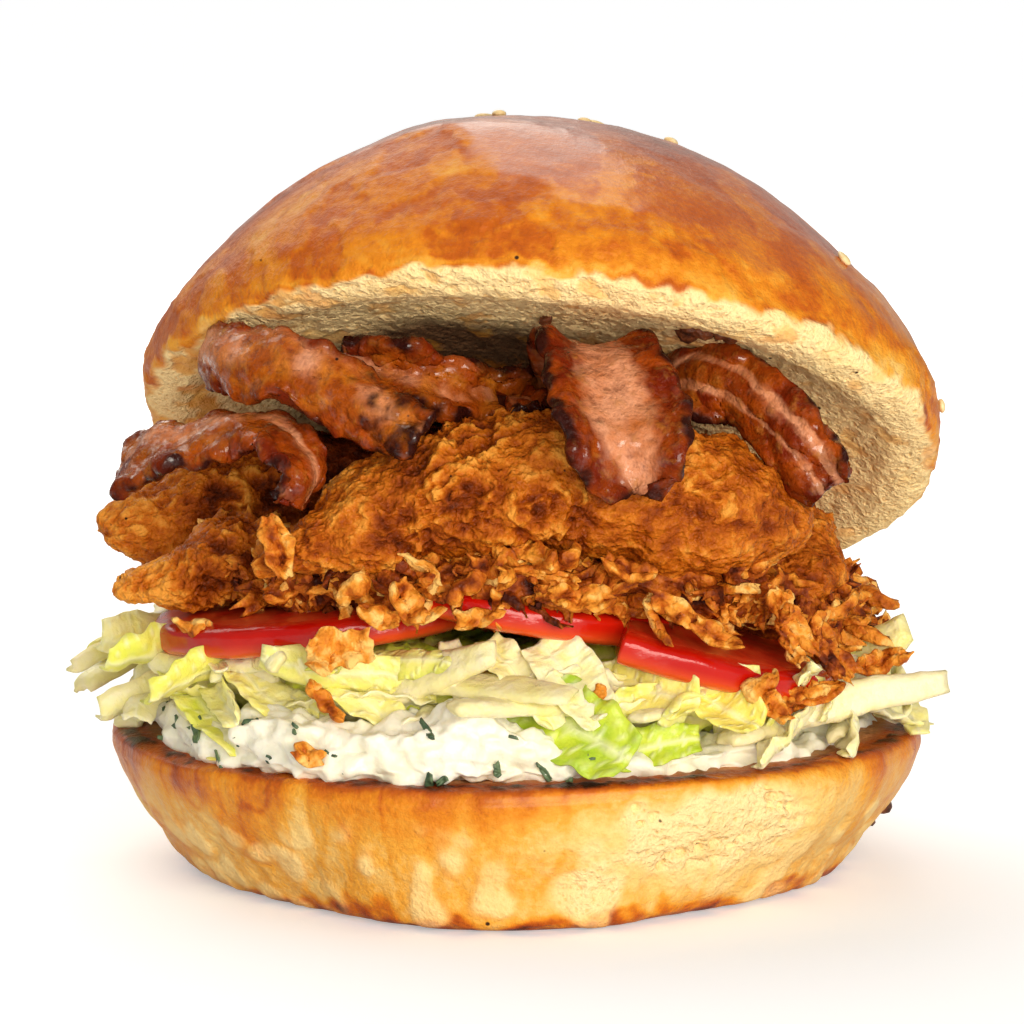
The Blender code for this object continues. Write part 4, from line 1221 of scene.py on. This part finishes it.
class BURGER_OT_lettuce(PieceOperator, bpy.types.Operator):
    """Shredded lettuce: loose ribs, strips and torn leaf over the heap's crumpled inside"""

    bl_idname = "burger.lettuce"
    bl_label = "Shredded lettuce"

    def build(self, sizes, colours):
        rng = np.random.default_rng(21)
        count = sizes.lettuce_strips
        angle = rng.uniform(-1.12, 0.12, count) * math.pi
        angle = np.where(np.arange(count) % 3 == 0, rng.uniform(0.0, 1.0, count) * math.pi, angle)
        down = rng.uniform(0.36, 0.60, count) * math.pi
        start = lettuce_core_shape(angle, down)
        start[:, 2] = np.where(np.sin(angle) < -0.55, np.maximum(start[:, 2], 29.5 * MM), start[:, 2])
        swing = angle + rng.choice([-1, 1], count) * rng.uniform(1.1, 1.8, count)
        heading = np.stack([np.cos(swing), np.sin(swing), rng.uniform(-0.35, 0.25, count)], axis=-1)
        heading[:, 2] = np.where(np.sin(angle) < -0.55, 0.6 * np.abs(heading[:, 2]), heading[:, 2])
        size = np.stack([rng.uniform(12, 25, count), rng.uniform(2.8, 6.8, count)], axis=-1) * MM
        kind = rng.random(count)
        rib = kind < 0.28
        thick = np.where(rib, rng.uniform(1.4, 2.4, count), rng.uniform(0.6, 1.0, count)) * MM
        green = np.where(rib, rng.uniform(0, 0.08, count), rng.uniform(0.04, 0.5, count) ** 1.2)
        yellow = np.where(kind > 0.9, rng.uniform(0.3, 0.8, count), 0.0)
        named = np.array([(*s, *h, *rest) for s, h, *rest in SHREDS], float)
        start = np.concatenate([named[:, 0:3] * MM, start])
        heading = np.concatenate([unit(named[:, 3:6]), unit(heading)])
        size = np.concatenate([named[:, 6:8] * MM, size])
        droop = np.concatenate([named[:, 8], rng.uniform(0.5, 3.5, count)]) * MM
        curl = np.concatenate([named[:, 9], rng.uniform(-1.5, 1.8, count)]) * MM
        roll = np.radians(np.concatenate([named[:, 10], rng.uniform(-10, 80, count)]))
        thick = np.concatenate([named[:, 11] * MM, thick])
        green = np.concatenate([named[:, 12], green])
        yellow = np.concatenate([named[:, 13], yellow])
        thin = smooth(1.6 * MM, 0.8 * MM, thick)
        ruffle = (0.25 + 1.4 * thin) * MM
        middles = strips(*LEAF_GRID, start, heading, roll, size, droop, curl, ruffle, 0.5, 40.0)
        middles[..., 2] = np.maximum(middles[..., 2], HEEL_HEIGHT + 0.4 * MM)
        s = np.linspace(0, 1, LEAF_GRID[0])[None, :, None]
        w = np.linspace(-0.5, 0.5, LEAF_GRID[1])[None, None, :]
        edge = np.maximum(np.abs(2 * w), np.abs(2 * s - 1) ** 4)
        body = thick[:, None, None] * (1 - 0.75 * edge ** 5)
        lane = np.arange(len(thick))[:, None, None]
        veins = np.exp(-(np.abs(np.mod(s * 5 + np.abs(w) * 3 + lane * 0.37, 1) - 0.5) / 0.07) ** 2)
        veins = np.maximum(veins, np.exp(-(w / 0.05) ** 2)) * thin[:, None, None]
        blade = green[:, None, None] + 0.25 * thin[:, None, None] * np.abs(w) * np.sin(lane * 1.7)
        values = {
            "green": blade + 0 * s,
            "yellow": yellow[:, None, None] + 0 * s * w,
            "vein": veins,
            "cut": edge ** 8 * (1 - thin[:, None, None]) * 0.6,
        }
        leaves = strip_arrays(middles, body, values)

        def crumple(points, around, down):
            folds = noise.ridges(points + 0.2, 6 * MM, 3) - 0.8
            deep = {k: 0 * around for k in ("yellow", "vein", "cut")}
            return folds * 1.6 * MM - 0.8 * MM, {"green": 0.30 + 0.5 * folds, **deep}

        arounds, downs = crowded(230, FRONT, 0.3), stretches((0.03, 0.97, 60))
        arrays = joined(leaves, round_arrays(arounds, downs, lettuce_core_shape, crumple))
        new_piece("lettuce_strips", arrays, lettuce_leaf(colours), ["lettuce"])


# Tomato slices: centre and radius in millimetres, lean about X and roll about Y in degrees
TOMATOES = {
    "tomato_left": ((-25, -18.5, 38.4), 25.5, -1, -7),
    "tomato_right": ((17, -22.5, 37.7), 28, 1, 17),
    "tomato_middle": ((0, -20.5, 41.7), 26.5, 0, 10),
}
# A reach in metres that no slice has
UNCUT = 9.0


class BURGER_OT_tomatoes(PieceOperator, bpy.types.Operator):
    """Tomato: three wet slices, the right one halved"""

    bl_idname = "burger.tomatoes"
    bl_label = "Tomato slices"

    def build(self, sizes, colours):
        for name, (centre, radius, lean, roll) in TOMATOES.items():
            tilt = turned([0.0, 1.0, 0.0], math.radians(roll)) @ turned([1.0, 0.0, 0.0], math.radians(lean))
            half = sizes.slice_thickness / 2
            cut = TOMATO_CUT - centre[0] * MM if name == "tomato_right" else -UNCUT

            def disc(around, down, radius=radius, half=half, cut=cut):
                """A disc |r / R|^7 + |h|^4 = 1, its reach cut short by a plane across X if it is halved."""
                reach = np.full(np.shape(around), radius * MM) * (1 + 0.012 * np.sin(3 * around + radius))
                away = np.cos(around + 0 * down)
                cut_reach = np.where(away < -0.02, cut / np.minimum(away, -0.02), UNCUT)
                reach = np.where(cut_reach > 0, np.minimum(reach, cut_reach), reach)
                r = reach * np.abs(np.sin(down)) ** (2 / 7)
                z = half * np.sign(np.cos(down)) * np.abs(np.cos(down)) ** (2 / 4)
                return ring(r * np.cos(around), r * np.sin(around), z, 0)

            def relief(points, around, down, half=half):
                rim = smooth(0.9, 0.97, np.abs(np.sin(down)) ** (2 / 7))
                move = (0.35 * noise(points, 9 * MM) + 0.12 * detail(points, 2.5 * MM)) * MM
                low = smooth(0.1, -0.9, points[..., 2] / half)
                return move, {"skin": rim, "orange": low * rim}

            downs = stretches((0.02, 0.25, 14), (0.25, 0.75, 60), (0.75, 0.98, 14))
            points, *rest = round_arrays(crowded(300, FRONT, 0.5), downs, disc, relief)
            arrays = points @ tilt.T + mm(*centre), *rest
            new_piece(name + "_slice", arrays, tomato_slice(colours), [name])


# Onion that stands out: centre, long way, width way in millimetres, length, width, bend in radians, tone
FLAKES = (
    ((-23.6, -49.5, 37.5), (1, 0.1, 0.15), (0.1, 0.35, 0.93), 9.5, 7.5, 0.7, 0.86),
    ((-25.5, -47.5, 30.6), (0.62, -0.1, -0.75), (0.5, 0.5, 0.4), 8.0, 2.6, 0.9, 0.52),
    ((-27.7, -50.9, 23.9), (0.8, 0.1, -0.3), (0.2, 0.4, 0.9), 5.0, 4.0, 0.8, 0.74),
    ((-43.5, -34.0, 38.3), (0.9, -0.4, -0.2), (0.2, 0.6, 0.7), 6.5, 3.6, 0.8, 0.66),
    ((33.0, -47.8, 32.7), (0.8, -0.1, 0.5), (0.3, 0.5, -0.8), 6.5, 3.4, 1.6, 0.72),
    ((34.5, -47.2, 30.1), (0.5, 0.1, -0.8), (0.8, 0.3, 0.4), 7.0, 3.4, 2.0, 0.70),
    ((12.5, -47.0, 30.5), (0.6, 0.2, -0.7), (0.7, 0.3, 0.6), 6.5, 3.4, 0.8, 0.50),
    ((9.5, -49.1, 44.4), (1, -0.1, 0.05), (0.1, 0.5, 0.85), 10.0, 4.6, 0.8, 0.58),
    ((21.5, -48.1, 42.8), (0.85, 0.1, -0.5), (0.4, 0.3, 0.85), 10.5, 6.5, 0.9, 0.62),
    ((26.5, -48.5, 39.8), (0.9, 0.1, -0.45), (0.3, 0.4, 0.8), 8.5, 3.6, 0.8, 0.66),
    ((-4.5, -47.3, 41.8), (0.95, -0.1, 0.2), (0.1, 0.6, 0.8), 7.5, 3.2, 0.6, 0.70),
    ((-7.0, -48.6, 45.8), (0.85, -0.1, 0.5), (0.2, 0.5, -0.8), 9.0, 3.0, 0.5, 0.50),
    ((-21.5, -47.6, 45.3), (0.7, -0.2, 0.6), (0.5, 0.5, -0.7), 8.0, 4.4, 1.6, 0.66),
    ((-14.5, -48.6, 43.8), (0.5, -0.2, -0.8), (0.8, 0.4, 0.3), 8.0, 5.0, 1.4, 0.60),
    ((-18.0, -48.1, 41.8), (0.9, -0.1, -0.3), (0.2, 0.5, 0.8), 7.0, 4.0, 1.2, 0.64),
    ((6.0, -49.1, 49.0), (0.8, -0.2, 0.4), (0.3, 0.5, -0.8), 9.0, 4.0, 1.8, 0.50),
    ((15.0, -48.6, 48.3), (0.9, -0.1, -0.2), (0.2, 0.6, 0.7), 8.5, 3.6, 1.3, 0.46),
    ((36.5, -41.0, 41.0), (0.5, 0.3, -0.75), (0.75, 0.3, 0.5), 13.0, 7.0, 1.0, 0.56),
    ((42.0, -35.0, 36.0), (0.5, 0.4, -0.8), (0.7, 0.5, 0.4), 14.0, 8.0, 1.2, 0.50),
    ((40.0, -38.0, 30.0), (0.9, 0.4, 0.1), (0.1, 0.4, 0.9), 10.0, 6.0, 1.0, 0.56),
    ((50.0, -22.0, 31.5), (0.9, 0.4, 0.2), (0.1, 0.5, 0.8), 10.0, 5.0, 1.1, 0.58),
    ((-31.8, -45.6, 51.2), (0.25, 0.0, -1.0), (1.0, 0.2, 0.2), 9.5, 5.5, 0.8, 0.62),
)
# Wider flakes than this, in millimetres, are split into narrow ones
WIDE_FLAKE = 5.6
ONION_CRUMBS = 520


def flake_surfaces(rows, columns, centre, long_way, wide_way, size, bend, seed):
    """Curled flakes: an arc of the bend along the length, twisted, crinkled, with a ragged outline."""
    s = np.linspace(-0.5, 0.5, rows)[None, :, None]
    w = np.linspace(-0.5, 0.5, columns)[None, None, :]
    along = unit(long_way)
    face = unit(np.cross(along, wide_way))
    across = np.cross(face, along)
    long, wide = (size[:, k][:, None, None] for k in (0, 1))
    bend = bend[:, None, None]
    lane = np.arange(len(centre))[:, None, None] * 5.7 + seed
    rough = detail(ring(s * long / MM, np.sign(w) * 4, lane, 0), 1.7)
    ends = detail(ring(w * wide / MM, np.sign(s) * 4, lane, 3.0), 1.5)
    x = np.sin(s * bend) / bend * long * (1 + 0.55 * ends * np.abs(2 * s))
    z = (1 - np.cos(s * bend)) / bend * long
    y = w * wide * (1 - 0.35 * np.abs(2 * s) ** 2) * (1 + 0.9 * rough)
    crinkle = detail.fractal(ring(s * long / MM, w * wide / MM, lane, 7.0), 2.6, 2)
    z = z + crinkle * 2.3 * MM + 0.28 * wide * (2 * w) ** 2
    twist = s * 1.6 * np.sin(lane * 2.3)
    y, z = y * np.cos(twist), z + y * np.sin(twist)
    return (
        centre[:, None, None] + along[:, None, None] * x[..., None]
        + across[:, None, None] * y[..., None] + face[:, None, None] * z[..., None]
    )


def flake_arrays(rows, columns, centre, long_way, wide_way, size, bend, tone, seed):
    """The flakes' closed strips, paler along their raised edges."""
    middles = flake_surfaces(rows, columns, centre, long_way, wide_way, size, bend, seed)
    s = np.linspace(-1, 1, rows)[None, :, None]
    w = np.linspace(-1, 1, columns)[None, None, :]
    edge = np.maximum(np.abs(w), np.abs(s))
    knobs = detail.fractal(middles + 0.4, 2.2 * MM, 2)
    thickness = 1.2 * MM * np.sqrt(np.clip(1 - edge ** 4, 0.04, 1)) * (1 + 0.9 * knobs)
    tone = tone[:, None, None] + 0.14 * edge ** 3 - 0.05 + 0.6 * knobs
    return strip_arrays(middles, thickness, {"tone": tone})


class BURGER_OT_onions(PieceOperator, bpy.types.Operator):
    """Crispy onions: curled flakes and crumbs over the heap's rough inside"""

    bl_idname = "burger.onions"
    bl_label = "Crispy onions"

    def build(self, sizes, colours):
        rng = np.random.default_rng(5)
        named = np.array([(*c, *a, *b, *rest) for c, a, b, *rest in FLAKES], float)
        wide = named[:, 10] > WIDE_FLAKE
        extra = np.repeat(named[wide], 3, axis=0)
        extra[:, 0:3] += rng.normal(0, 1.5, (len(extra), 3)) * (1, 0.6, 1)
        extra[:, 3:9] += rng.normal(0, 0.28, (len(extra), 6))
        shorter, narrower = rng.uniform(0.6, 0.95, len(extra)), rng.uniform(0.25, 0.5, len(extra))
        extra[:, 9:11] *= np.stack([shorter, narrower], axis=-1)
        extra[:, 12] += rng.normal(0, 0.12, len(extra))
        named = np.concatenate([named, extra[3:]])
        named[1:len(wide), 10] *= np.where(wide[1:], 0.6, 1.0)
        large = flake_arrays(
            22, 9, named[:, 0:3] * MM, named[:, 3:6], named[:, 6:9], named[:, 9:11] * (0.9, 0.72) * MM,
            named[:, 11] * 1.4, named[:, 12], 0.0,
        )
        count = sizes.onion_flakes
        angle = np.radians(rng.uniform(-200, 20, count))
        back = np.arange(count) % 4 == 0
        angle = np.where(back, np.radians(rng.uniform(20, 160, count)), angle)
        spot = onion_core_shape(angle, rng.uniform(0.26, 0.66, count) * math.pi)
        spot = spot + rng.normal(0, 0.5, (count, 3)) * MM
        above = 43.5 * MM - 0.14 * np.maximum(spot[:, 0], 0)
        spot[:, 2] = np.where(np.sin(angle) < -0.5, np.maximum(spot[:, 2], above), spot[:, 2])
        long_way = unit(rng.normal(size=(count, 3)) * (1, 1, 0.7))
        wide_way = unit(rng.normal(size=(count, 3)) + (0, 0, 0.8))
        size = np.stack([rng.uniform(5.0, 12.5, count), rng.uniform(1.4, 3.6, count)], axis=-1) * MM
        loose = flake_arrays(
            10, 6, spot, long_way, wide_way, size, rng.uniform(0.6, 3.2, count),
            np.clip(rng.normal(0.50, 0.19, count), 0.08, 0.95), 300.0,
        )
        crumbs = ONION_CRUMBS
        angle = np.radians(rng.uniform(-205, 40, crumbs))
        spot = onion_core_shape(angle, rng.uniform(0.24, 0.62, crumbs) * math.pi)
        spot = spot + rng.normal(0, 0.5, (crumbs, 3)) * MM
        small = flake_arrays(
            4, 3, spot, unit(rng.normal(size=(crumbs, 3))), unit(rng.normal(size=(crumbs, 3))),
            np.stack([rng.uniform(1.2, 3.2, crumbs), rng.uniform(0.9, 2.0, crumbs)], axis=-1) * MM,
            rng.uniform(0.4, 1.6, crumbs), np.clip(rng.normal(0.5, 0.2, crumbs), 0.1, 0.95), 900.0,
        )

        def rough(points, around, down):
            crags = noise.ridges(points + 0.6, 5.5 * MM, 3) - 0.85
            # Painted shade: the heap's inside is coloured dark, darkest in its hollows
            return crags * 1.7 * MM - 0.4 * MM, {"tone": 0.20 + 0.40 * crags}

        core = round_arrays(crowded(260, FRONT, 0.3), stretches((0.03, 0.97, 84)), onion_core_shape, rough)
        arrays = joined(large, loose, small, core)
        new_piece("crispy_onion_flakes", arrays, crisp_onion(colours), ["crispy_onions"])


class BURGER_OT_chicken(PieceOperator, bpy.types.Operator):
    """Fried tenders: craggy batter with fibrous ridges, blisters and small nubs"""

    bl_idname = "burger.chicken"
    bl_label = "Fried tenders"

    def build(self, sizes, colours):
        for name, (line, half_widths, half_heights) in TENDERS.items():
            columns, rows = TENDER_GRIDS.get(name, SMALL_TENDER_GRID)
            way = unit(np.subtract(line[-1], line[0]))

            def shape(around, down, line=line, half_widths=half_widths, half_heights=half_heights):
                return tender_shape(around, down, line, half_widths, half_heights)

            def relief(points, around, down, way=way, under_crown_shade=0.5 * (name == "chicken_left")):
                """Crests of ridged noise drawn out along the tender, with knobs round cell centres."""
                bend = np.stack([noise(points + k, 7 * MM) for k in (0.1, 0.3, 0.5)], axis=-1) * 3.5 * MM
                drawn_out = points + bend - (points @ way)[..., None] * way * 0.35
                crags = noise.ridges(drawn_out + 0.2, 5.0 * MM, 4, 0.62) - 1.0
                knobs = smooth(0.62, 0.05, detail.cells(points + 0.4 * bend, 2.5 * MM))
                fine = smooth(0.6, 0.1, detail.cells(points + 0.7, 1.25 * MM))
                lumps = noise.fractal(points + 0.9, 7.0 * MM, 3)
                x, y, z = np.moveaxis(points, -1, 0)
                calm = smooth(-0.05, 0.2, noise(points + 3.0, 14 * MM) + 0.25 * smooth(0, 25 * MM, x))
                # Painted light: the tone rises towards the far-left lobe, standing in for light on that side
                lobe = smooth(-41 * MM, -50 * MM, x)
                calm = np.maximum(calm, 0.8 * lobe)
                height = 0.95 * crags * (1 - 0.6 * calm)
                height = height + (0.42 * knobs + 0.28 * fine) * (1 - 0.5 * calm) + 0.6 * lumps
                # Colour by height: darker in hollows and golden on crests, partly real browning and partly
                # painted shade
                tone = 0.35 + 0.50 * height + 0.20 * calm + 0.18 * lobe
                tone = tone + 0.30 * noise.fractal(points + 6.0, 13 * MM, 2)
                # Painted shade: the front top of chicken_left, under the crown, is darkened
                deep = smooth(-38 * MM, -26 * MM, x) * smooth(50 * MM, 56 * MM, z) * smooth(10 * MM, 0, y)
                tone = np.maximum(tone, 0.19 + 0.4 * tone) - under_crown_shade * deep
                return (height - 0.3) * sizes.batter_relief, {"rise": tone}

            downs = np.arccos(np.clip(1 - 2 * (np.arange(rows) + 0.5) / rows, -1, 1))
            arounds = crowded(columns, 0.0, 0.0)
            arrays = round_arrays(arounds, downs, shape, relief)
            new_piece(name + "_batter", arrays, craggy_batter(colours), [name])


# Each rasher's fat bands across its width, as (place, half width) shares, its hollow in millimetres,
# how round its far end is, its gold along its length, and how charred its two ends are
RASHER_LOOKS = {
    "bacon_front": (((-0.02, 0.24),), 1.5, 1.0, (1.0, 1.0, 1.0, 0.2, 0.0, 0.2), (0.0, 0.0)),
    "bacon_top_left": (((0.05, 0.22),), -3.0, 0.3, (0.0, 0.0, 0.0, 0.9, 1.0, 0.9), (0.0, 0.8)),
    "bacon_top_back": (((-0.05, 0.2),), -1.8, 0.5, (0.2, 0.9, 1.0, 0.9, 0.4), (1.0, 0.1)),
    "bacon_low_left": (((0.12, 0.13),), -1.5, 0.4, (1.0, 0.9, 0.6, 0.5, 0.1, 0.0), (0.0, 0.2)),
    "bacon_right": (((-0.20, 0.06), (0.14, 0.05)), 1.2, 0.6, (0.9, 0.9, 0.5, 0.1, 0.0), (0.5, 0.3)),
    "bacon_middle": (((0.05, 0.12),), 1.0, 0.6, (0.2, 0.2, 0.1), (1.2, 1.2)),
}
RASHER_GRID = (190, 48)


class BURGER_OT_bacon(PieceOperator, bpy.types.Operator):
    """Bacon: wavy rashers with ruffled dark edges and bands of clear fat"""

    bl_idname = "burger.bacon"
    bl_label = "Bacon rashers"

    def build(self, sizes, colours):
        rows, columns = RASHER_GRID
        s, w = np.meshgrid(np.linspace(0, 1, rows), np.linspace(-0.5, 0.5, columns), indexing="ij")
        for name, (line, across, widths) in RASHERS.items():
            bands, hollow, blunt, gilded, charred = RASHER_LOOKS[name]
            middle = rasher_shape(s, w, line, across, widths, hollow, blunt)
            drift = w + 0.30 * noise.fractal(middle * 0.6, 9 * MM, 2)
            lean = 1.0 - sum(np.exp(-((drift - place) / half) ** 4) for place, half in bands)
            lean = lean + 1.1 * detail(ring(s * 3.0, w * 5.0, widths[0] + len(name) * 3.1, 0), 1.0)
            edge = np.maximum(np.abs(2 * w), np.abs(2 * s - 1) ** 14)
            grain = detail.fractal(middle, 2.4 * MM, 3)
            rim = smooth(0.55, 0.9, edge + 0.3 * noise.fractal(middle + 2.0, 6 * MM, 2))
            knobs = smooth(0.6, 0.1, detail.cells(middle + 0.3, 2.6 * MM)) * rim
            char = smooth(0.86, 1.04, edge + 0.30 * detail.fractal(middle + 0.7, 4 * MM, 2))
            char = char + charred[0] * smooth(0.5, 0.25, s)
            char = char + charred[1] * smooth(0.84, 0.97, s + 0.25 * grain)
            gold = np.interp(s, np.linspace(0, 1, len(gilded)), gilded)
            gold = gold * smooth(-0.45, 0.1, noise.fractal(middle + 4.0, 6 * MM, 3))
            wrinkle = detail.fractal(ring(s * 30.0, w * 9.0, 0.0, len(name)), 1.6, 3)
            middle = middle + wrinkle[..., None] * (0.0, 0.45 * MM, 0.45 * MM)
            body = sizes.bacon_thickness * (0.80 + (0.12 + 0.3 * rim) * grain + 0.15 * lean + 0.4 * knobs)
            body = body * (1 + 0.35 * rim) * np.sqrt(np.clip(1 - edge ** 14, 0.03, 1))
            lean = lean + 0.4 * grain + 0.4 * rim
            values = {"lean": lean, "char": char + 0.12 * rim, "gold": gold * (1 - 0.7 * rim)}
            arrays = strip_arrays(middle[None], body[None], {k: v[None] for k, v in values.items()})
            new_piece(name + "_rasher", arrays, streaky_bacon(colours), [name])


# Charred scraps: centre, length and width in millimetres, and whether it is placed on the crown
BURNT = (
    ((20.0, -36.2, -0.3), 7.5, 3.6, True),
    ((23.8, -36.6, -0.6), 3.5, 3.0, True),
    ((21.3, -25.5, 1.1), 3.4, 2.4, True),
    ((-0.6, -33.9, 0.6), 1.6, 1.0, True),
    ((52.3, -7.0, 9.8), 4.5, 3.0, False),
    ((50.5, -9.0, 8.0), 3.6, 2.2, False),
)


class BURGER_OT_burnt(PieceOperator, bpy.types.Operator):
    """Charred scraps caught in the crown's crumb and against the heel"""

    bl_idname = "burger.burnt"
    bl_label = "Burnt scraps"

    def build(self, sizes, colours):
        centre = np.array([mm(*c) for c, _, _, _ in BURNT])
        on_crown = np.array([crown for _, _, _, crown in BURNT])
        centre = np.where(on_crown[:, None], place_crown(centre), centre)
        size = np.array([mm(a, b) for _, a, b, _ in BURNT])
        count = len(BURNT)
        long_way = np.where(on_crown[:, None], (1.0, 0.1, -0.1), (0.3, 0.2, 0.9))
        wide_way = np.where(on_crown[:, None], (0.1, 0.75, -0.6), (-0.2, 1.0, 0.1))
        bend, tone = np.full(count, 1.2), np.full(count, 0.1)
        arrays = flake_arrays(12, 8, centre, long_way, wide_way, size, bend, tone, 50.0)
        new_piece("burnt_scraps", arrays, burnt_bits(colours), [])


# Herb pieces in the sauce: place, length and width in millimetres
HERBS = (
    ((-12.0, -56.0, 30.5), 4.2, 1.2), ((-6.5, -55.0, 31.3), 1.6, 1.0), ((-1.8, -58.0, 22.5), 1.8, 1.5),
    ((-11.5, -58.5, 20.2), 2.8, 1.8), ((-9.8, -58.6, 20.8), 2.4, 1.2), ((5.0, -57.5, 21.5), 5.0, 1.2),
    ((8.5, -57.0, 20.6), 2.5, 1.4), ((-42.0, -40.0, 21.5), 4.4, 1.6), ((-45.0, -37.0, 25.5), 3.0, 1.8),
    ((-37.0, -44.0, 28.5), 2.6, 0.9), ((-30.5, -50.5, 27.0), 1.5, 0.9), ((-50.5, -28.0, 26.0), 2.0, 1.0),
)
LOOSE_HERBS = 16


class BURGER_OT_herbs(PieceOperator, bpy.types.Operator):
    """Chopped herb pieces set into the sauce's surface"""

    bl_idname = "burger.herbs"
    bl_label = "Chopped herbs"

    def build(self, sizes, colours):
        rng = np.random.default_rng(12)
        sauce = bpy.data.objects["herb_sauce_lobes"]
        tree = sauce.evaluated_get(bpy.context.evaluated_depsgraph_get())
        wanted = [(Vector(mm(*spot)), long * MM, wide * MM) for spot, long, wide in HERBS]
        for _ in range(LOOSE_HERBS):
            angle, height = math.radians(rng.uniform(-165, -70)), rng.uniform(20, 31) * MM
            spot = Vector((math.cos(angle) * 0.06, math.sin(angle) * 0.06, height))
            wanted.append((spot, rng.uniform(0.8, 2.2) * MM, rng.uniform(0.5, 1.0) * MM))
        centre, out = [], []
        for spot, _, _ in wanted:
            _, place, normal, _ = tree.closest_point_on_mesh(spot)
            centre.append(place)
            out.append(normal)
        centre, out = np.array(centre), unit(np.array(out))
        long_way = unit(np.cross(out, rng.normal(size=out.shape)))
        size = np.array([(long, wide) for _, long, wide in wanted]) * (0.8, 0.62)
        bend = rng.uniform(0.3, 1.2, len(size))
        sunk = centre - out * 0.15 * MM
        middles = flake_surfaces(7, 4, sunk, long_way, np.cross(out, long_way), size, bend, 70.0)
        arrays = strip_arrays(middles, np.full(middles.shape[:3], 0.35 * MM), {})
        new_piece("chopped_herbs", arrays, chopped_herb(colours), [])


# Half the floor's side, the point that the camera and the lights face, and the camera's sensor in mm
FLOOR_REACH = 6.0
AIM = (-0.0004, 0.0, 0.0499)
SENSOR_WIDTH = 36


class BURGER_OT_stage(bpy.types.Operator):
    """White floor, soft studio light and a camera at the photograph's angle"""

    bl_idname = "burger.stage"
    bl_label = "Studio"
    bl_options = {"REGISTER", "UNDO"}

    def execute(self, context):
        scene, studio = context.scene, context.scene.burger_studio
        colours = scene.burger_colours
        corners = [(x * FLOOR_REACH, y * FLOOR_REACH, 0) for x, y in ((-1, -1), (1, -1), (1, 1), (-1, 1))]
        mesh = bpy.data.meshes.new("floor")
        mesh.from_pydata(corners, [], [(0, 1, 2, 3)])
        mesh.materials.append(studio_floor(colours))
        floor = bpy.data.objects.new("floor", mesh)
        scene.collection.objects.link(floor)

        world = bpy.data.worlds.new("surround")
        world.use_nodes = True
        background = world.node_tree.nodes["Background"]
        background.inputs["Color"].default_value = (1.0, 0.97, 0.92, 1)
        background.inputs["Strength"].default_value = studio.surround
        scene.world = world
        aim = Vector(AIM)
        for name, place, size, power in (
            ("top_light", (-0.27, 0.55, 0.79), (1.1, 1.1), studio.key),
            ("fill_light", (0.30, -0.93, 0.22), (0.9, 0.38), studio.fill),
            ("back_light", (-0.20, 1.00, 0.36), (1.4, 0.55), studio.back),
        ):
            data = bpy.data.lights.new(name, "AREA")
            data.shape, data.energy = "RECTANGLE", power
            data.size, data.size_y = size
            data.color = studio.warmth
            lamp = bpy.data.objects.new(name, data)
            lamp.location = place
            lamp.rotation_mode = "QUATERNION"
            lamp.rotation_quaternion = (Vector(place) - aim).to_track_quat("Z", "Y")
            lamp.visible_camera = False
            scene.collection.objects.link(lamp)

        camera = bpy.data.objects.new("camera", bpy.data.cameras.new("camera"))
        camera.data.sensor_width = SENSOR_WIDTH
        camera.data.lens = studio.lens
        back = Vector((0, -math.cos(studio.camera_height), math.sin(studio.camera_height)))
        camera.location = aim + back * studio.camera_distance
        camera.rotation_mode = "QUATERNION"
        camera.rotation_quaternion = (-back).to_track_quat("-Z", "Y")
        scene.collection.objects.link(camera)
        scene.camera = camera
        scene.view_settings.view_transform = "Standard"
        return {"FINISHED"}


class BURGER_PT_sidebar(bpy.types.Panel):
    """Lists the burger's pieces and their settings"""

    bl_idname = "BURGER_PT_sidebar"
    bl_label = "Chicken burger"
    bl_space_type = "VIEW_3D"
    bl_region_type = "UI"
    bl_category = "Burger"

    def draw(self, context):
        layout = self.layout
        for settings in ("burger_sizes", "burger_colours", "burger_studio"):
            values = getattr(context.scene, settings)
            box = layout.box()
            for key in values.bl_rna.properties.keys():
                if key not in {"rna_type", "name"}:
                    box.prop(values, key)
        for operator in OPERATORS:
            layout.operator(operator.bl_idname)


SETTINGS = {"burger_colours": BurgerColours, "burger_sizes": BurgerSizes, "burger_studio": BurgerStudio}
OPERATORS = (
    BURGER_OT_stage, BURGER_OT_heel, BURGER_OT_sauce, BURGER_OT_herbs, BURGER_OT_lettuce, BURGER_OT_tomatoes,
    BURGER_OT_onions, BURGER_OT_chicken, BURGER_OT_bacon, BURGER_OT_crown, BURGER_OT_seeds, BURGER_OT_burnt,
)


def register():
    for kind in (*SETTINGS.values(), *OPERATORS, BURGER_PT_sidebar):
        bpy.utils.register_class(kind)
    for name, kind in SETTINGS.items():
        setattr(bpy.types.Scene, name, PointerProperty(type=kind))


def unregister():
    for name in SETTINGS:
        delattr(bpy.types.Scene, name)
    for kind in reversed((*SETTINGS.values(), *OPERATORS, BURGER_PT_sidebar)):
        bpy.utils.unregister_class(kind)


def main():
    register()
    for operator in OPERATORS:
        area, name = operator.bl_idname.split(".")
        getattr(getattr(bpy.ops, area), name)()


if __name__ == "__main__":
    main()
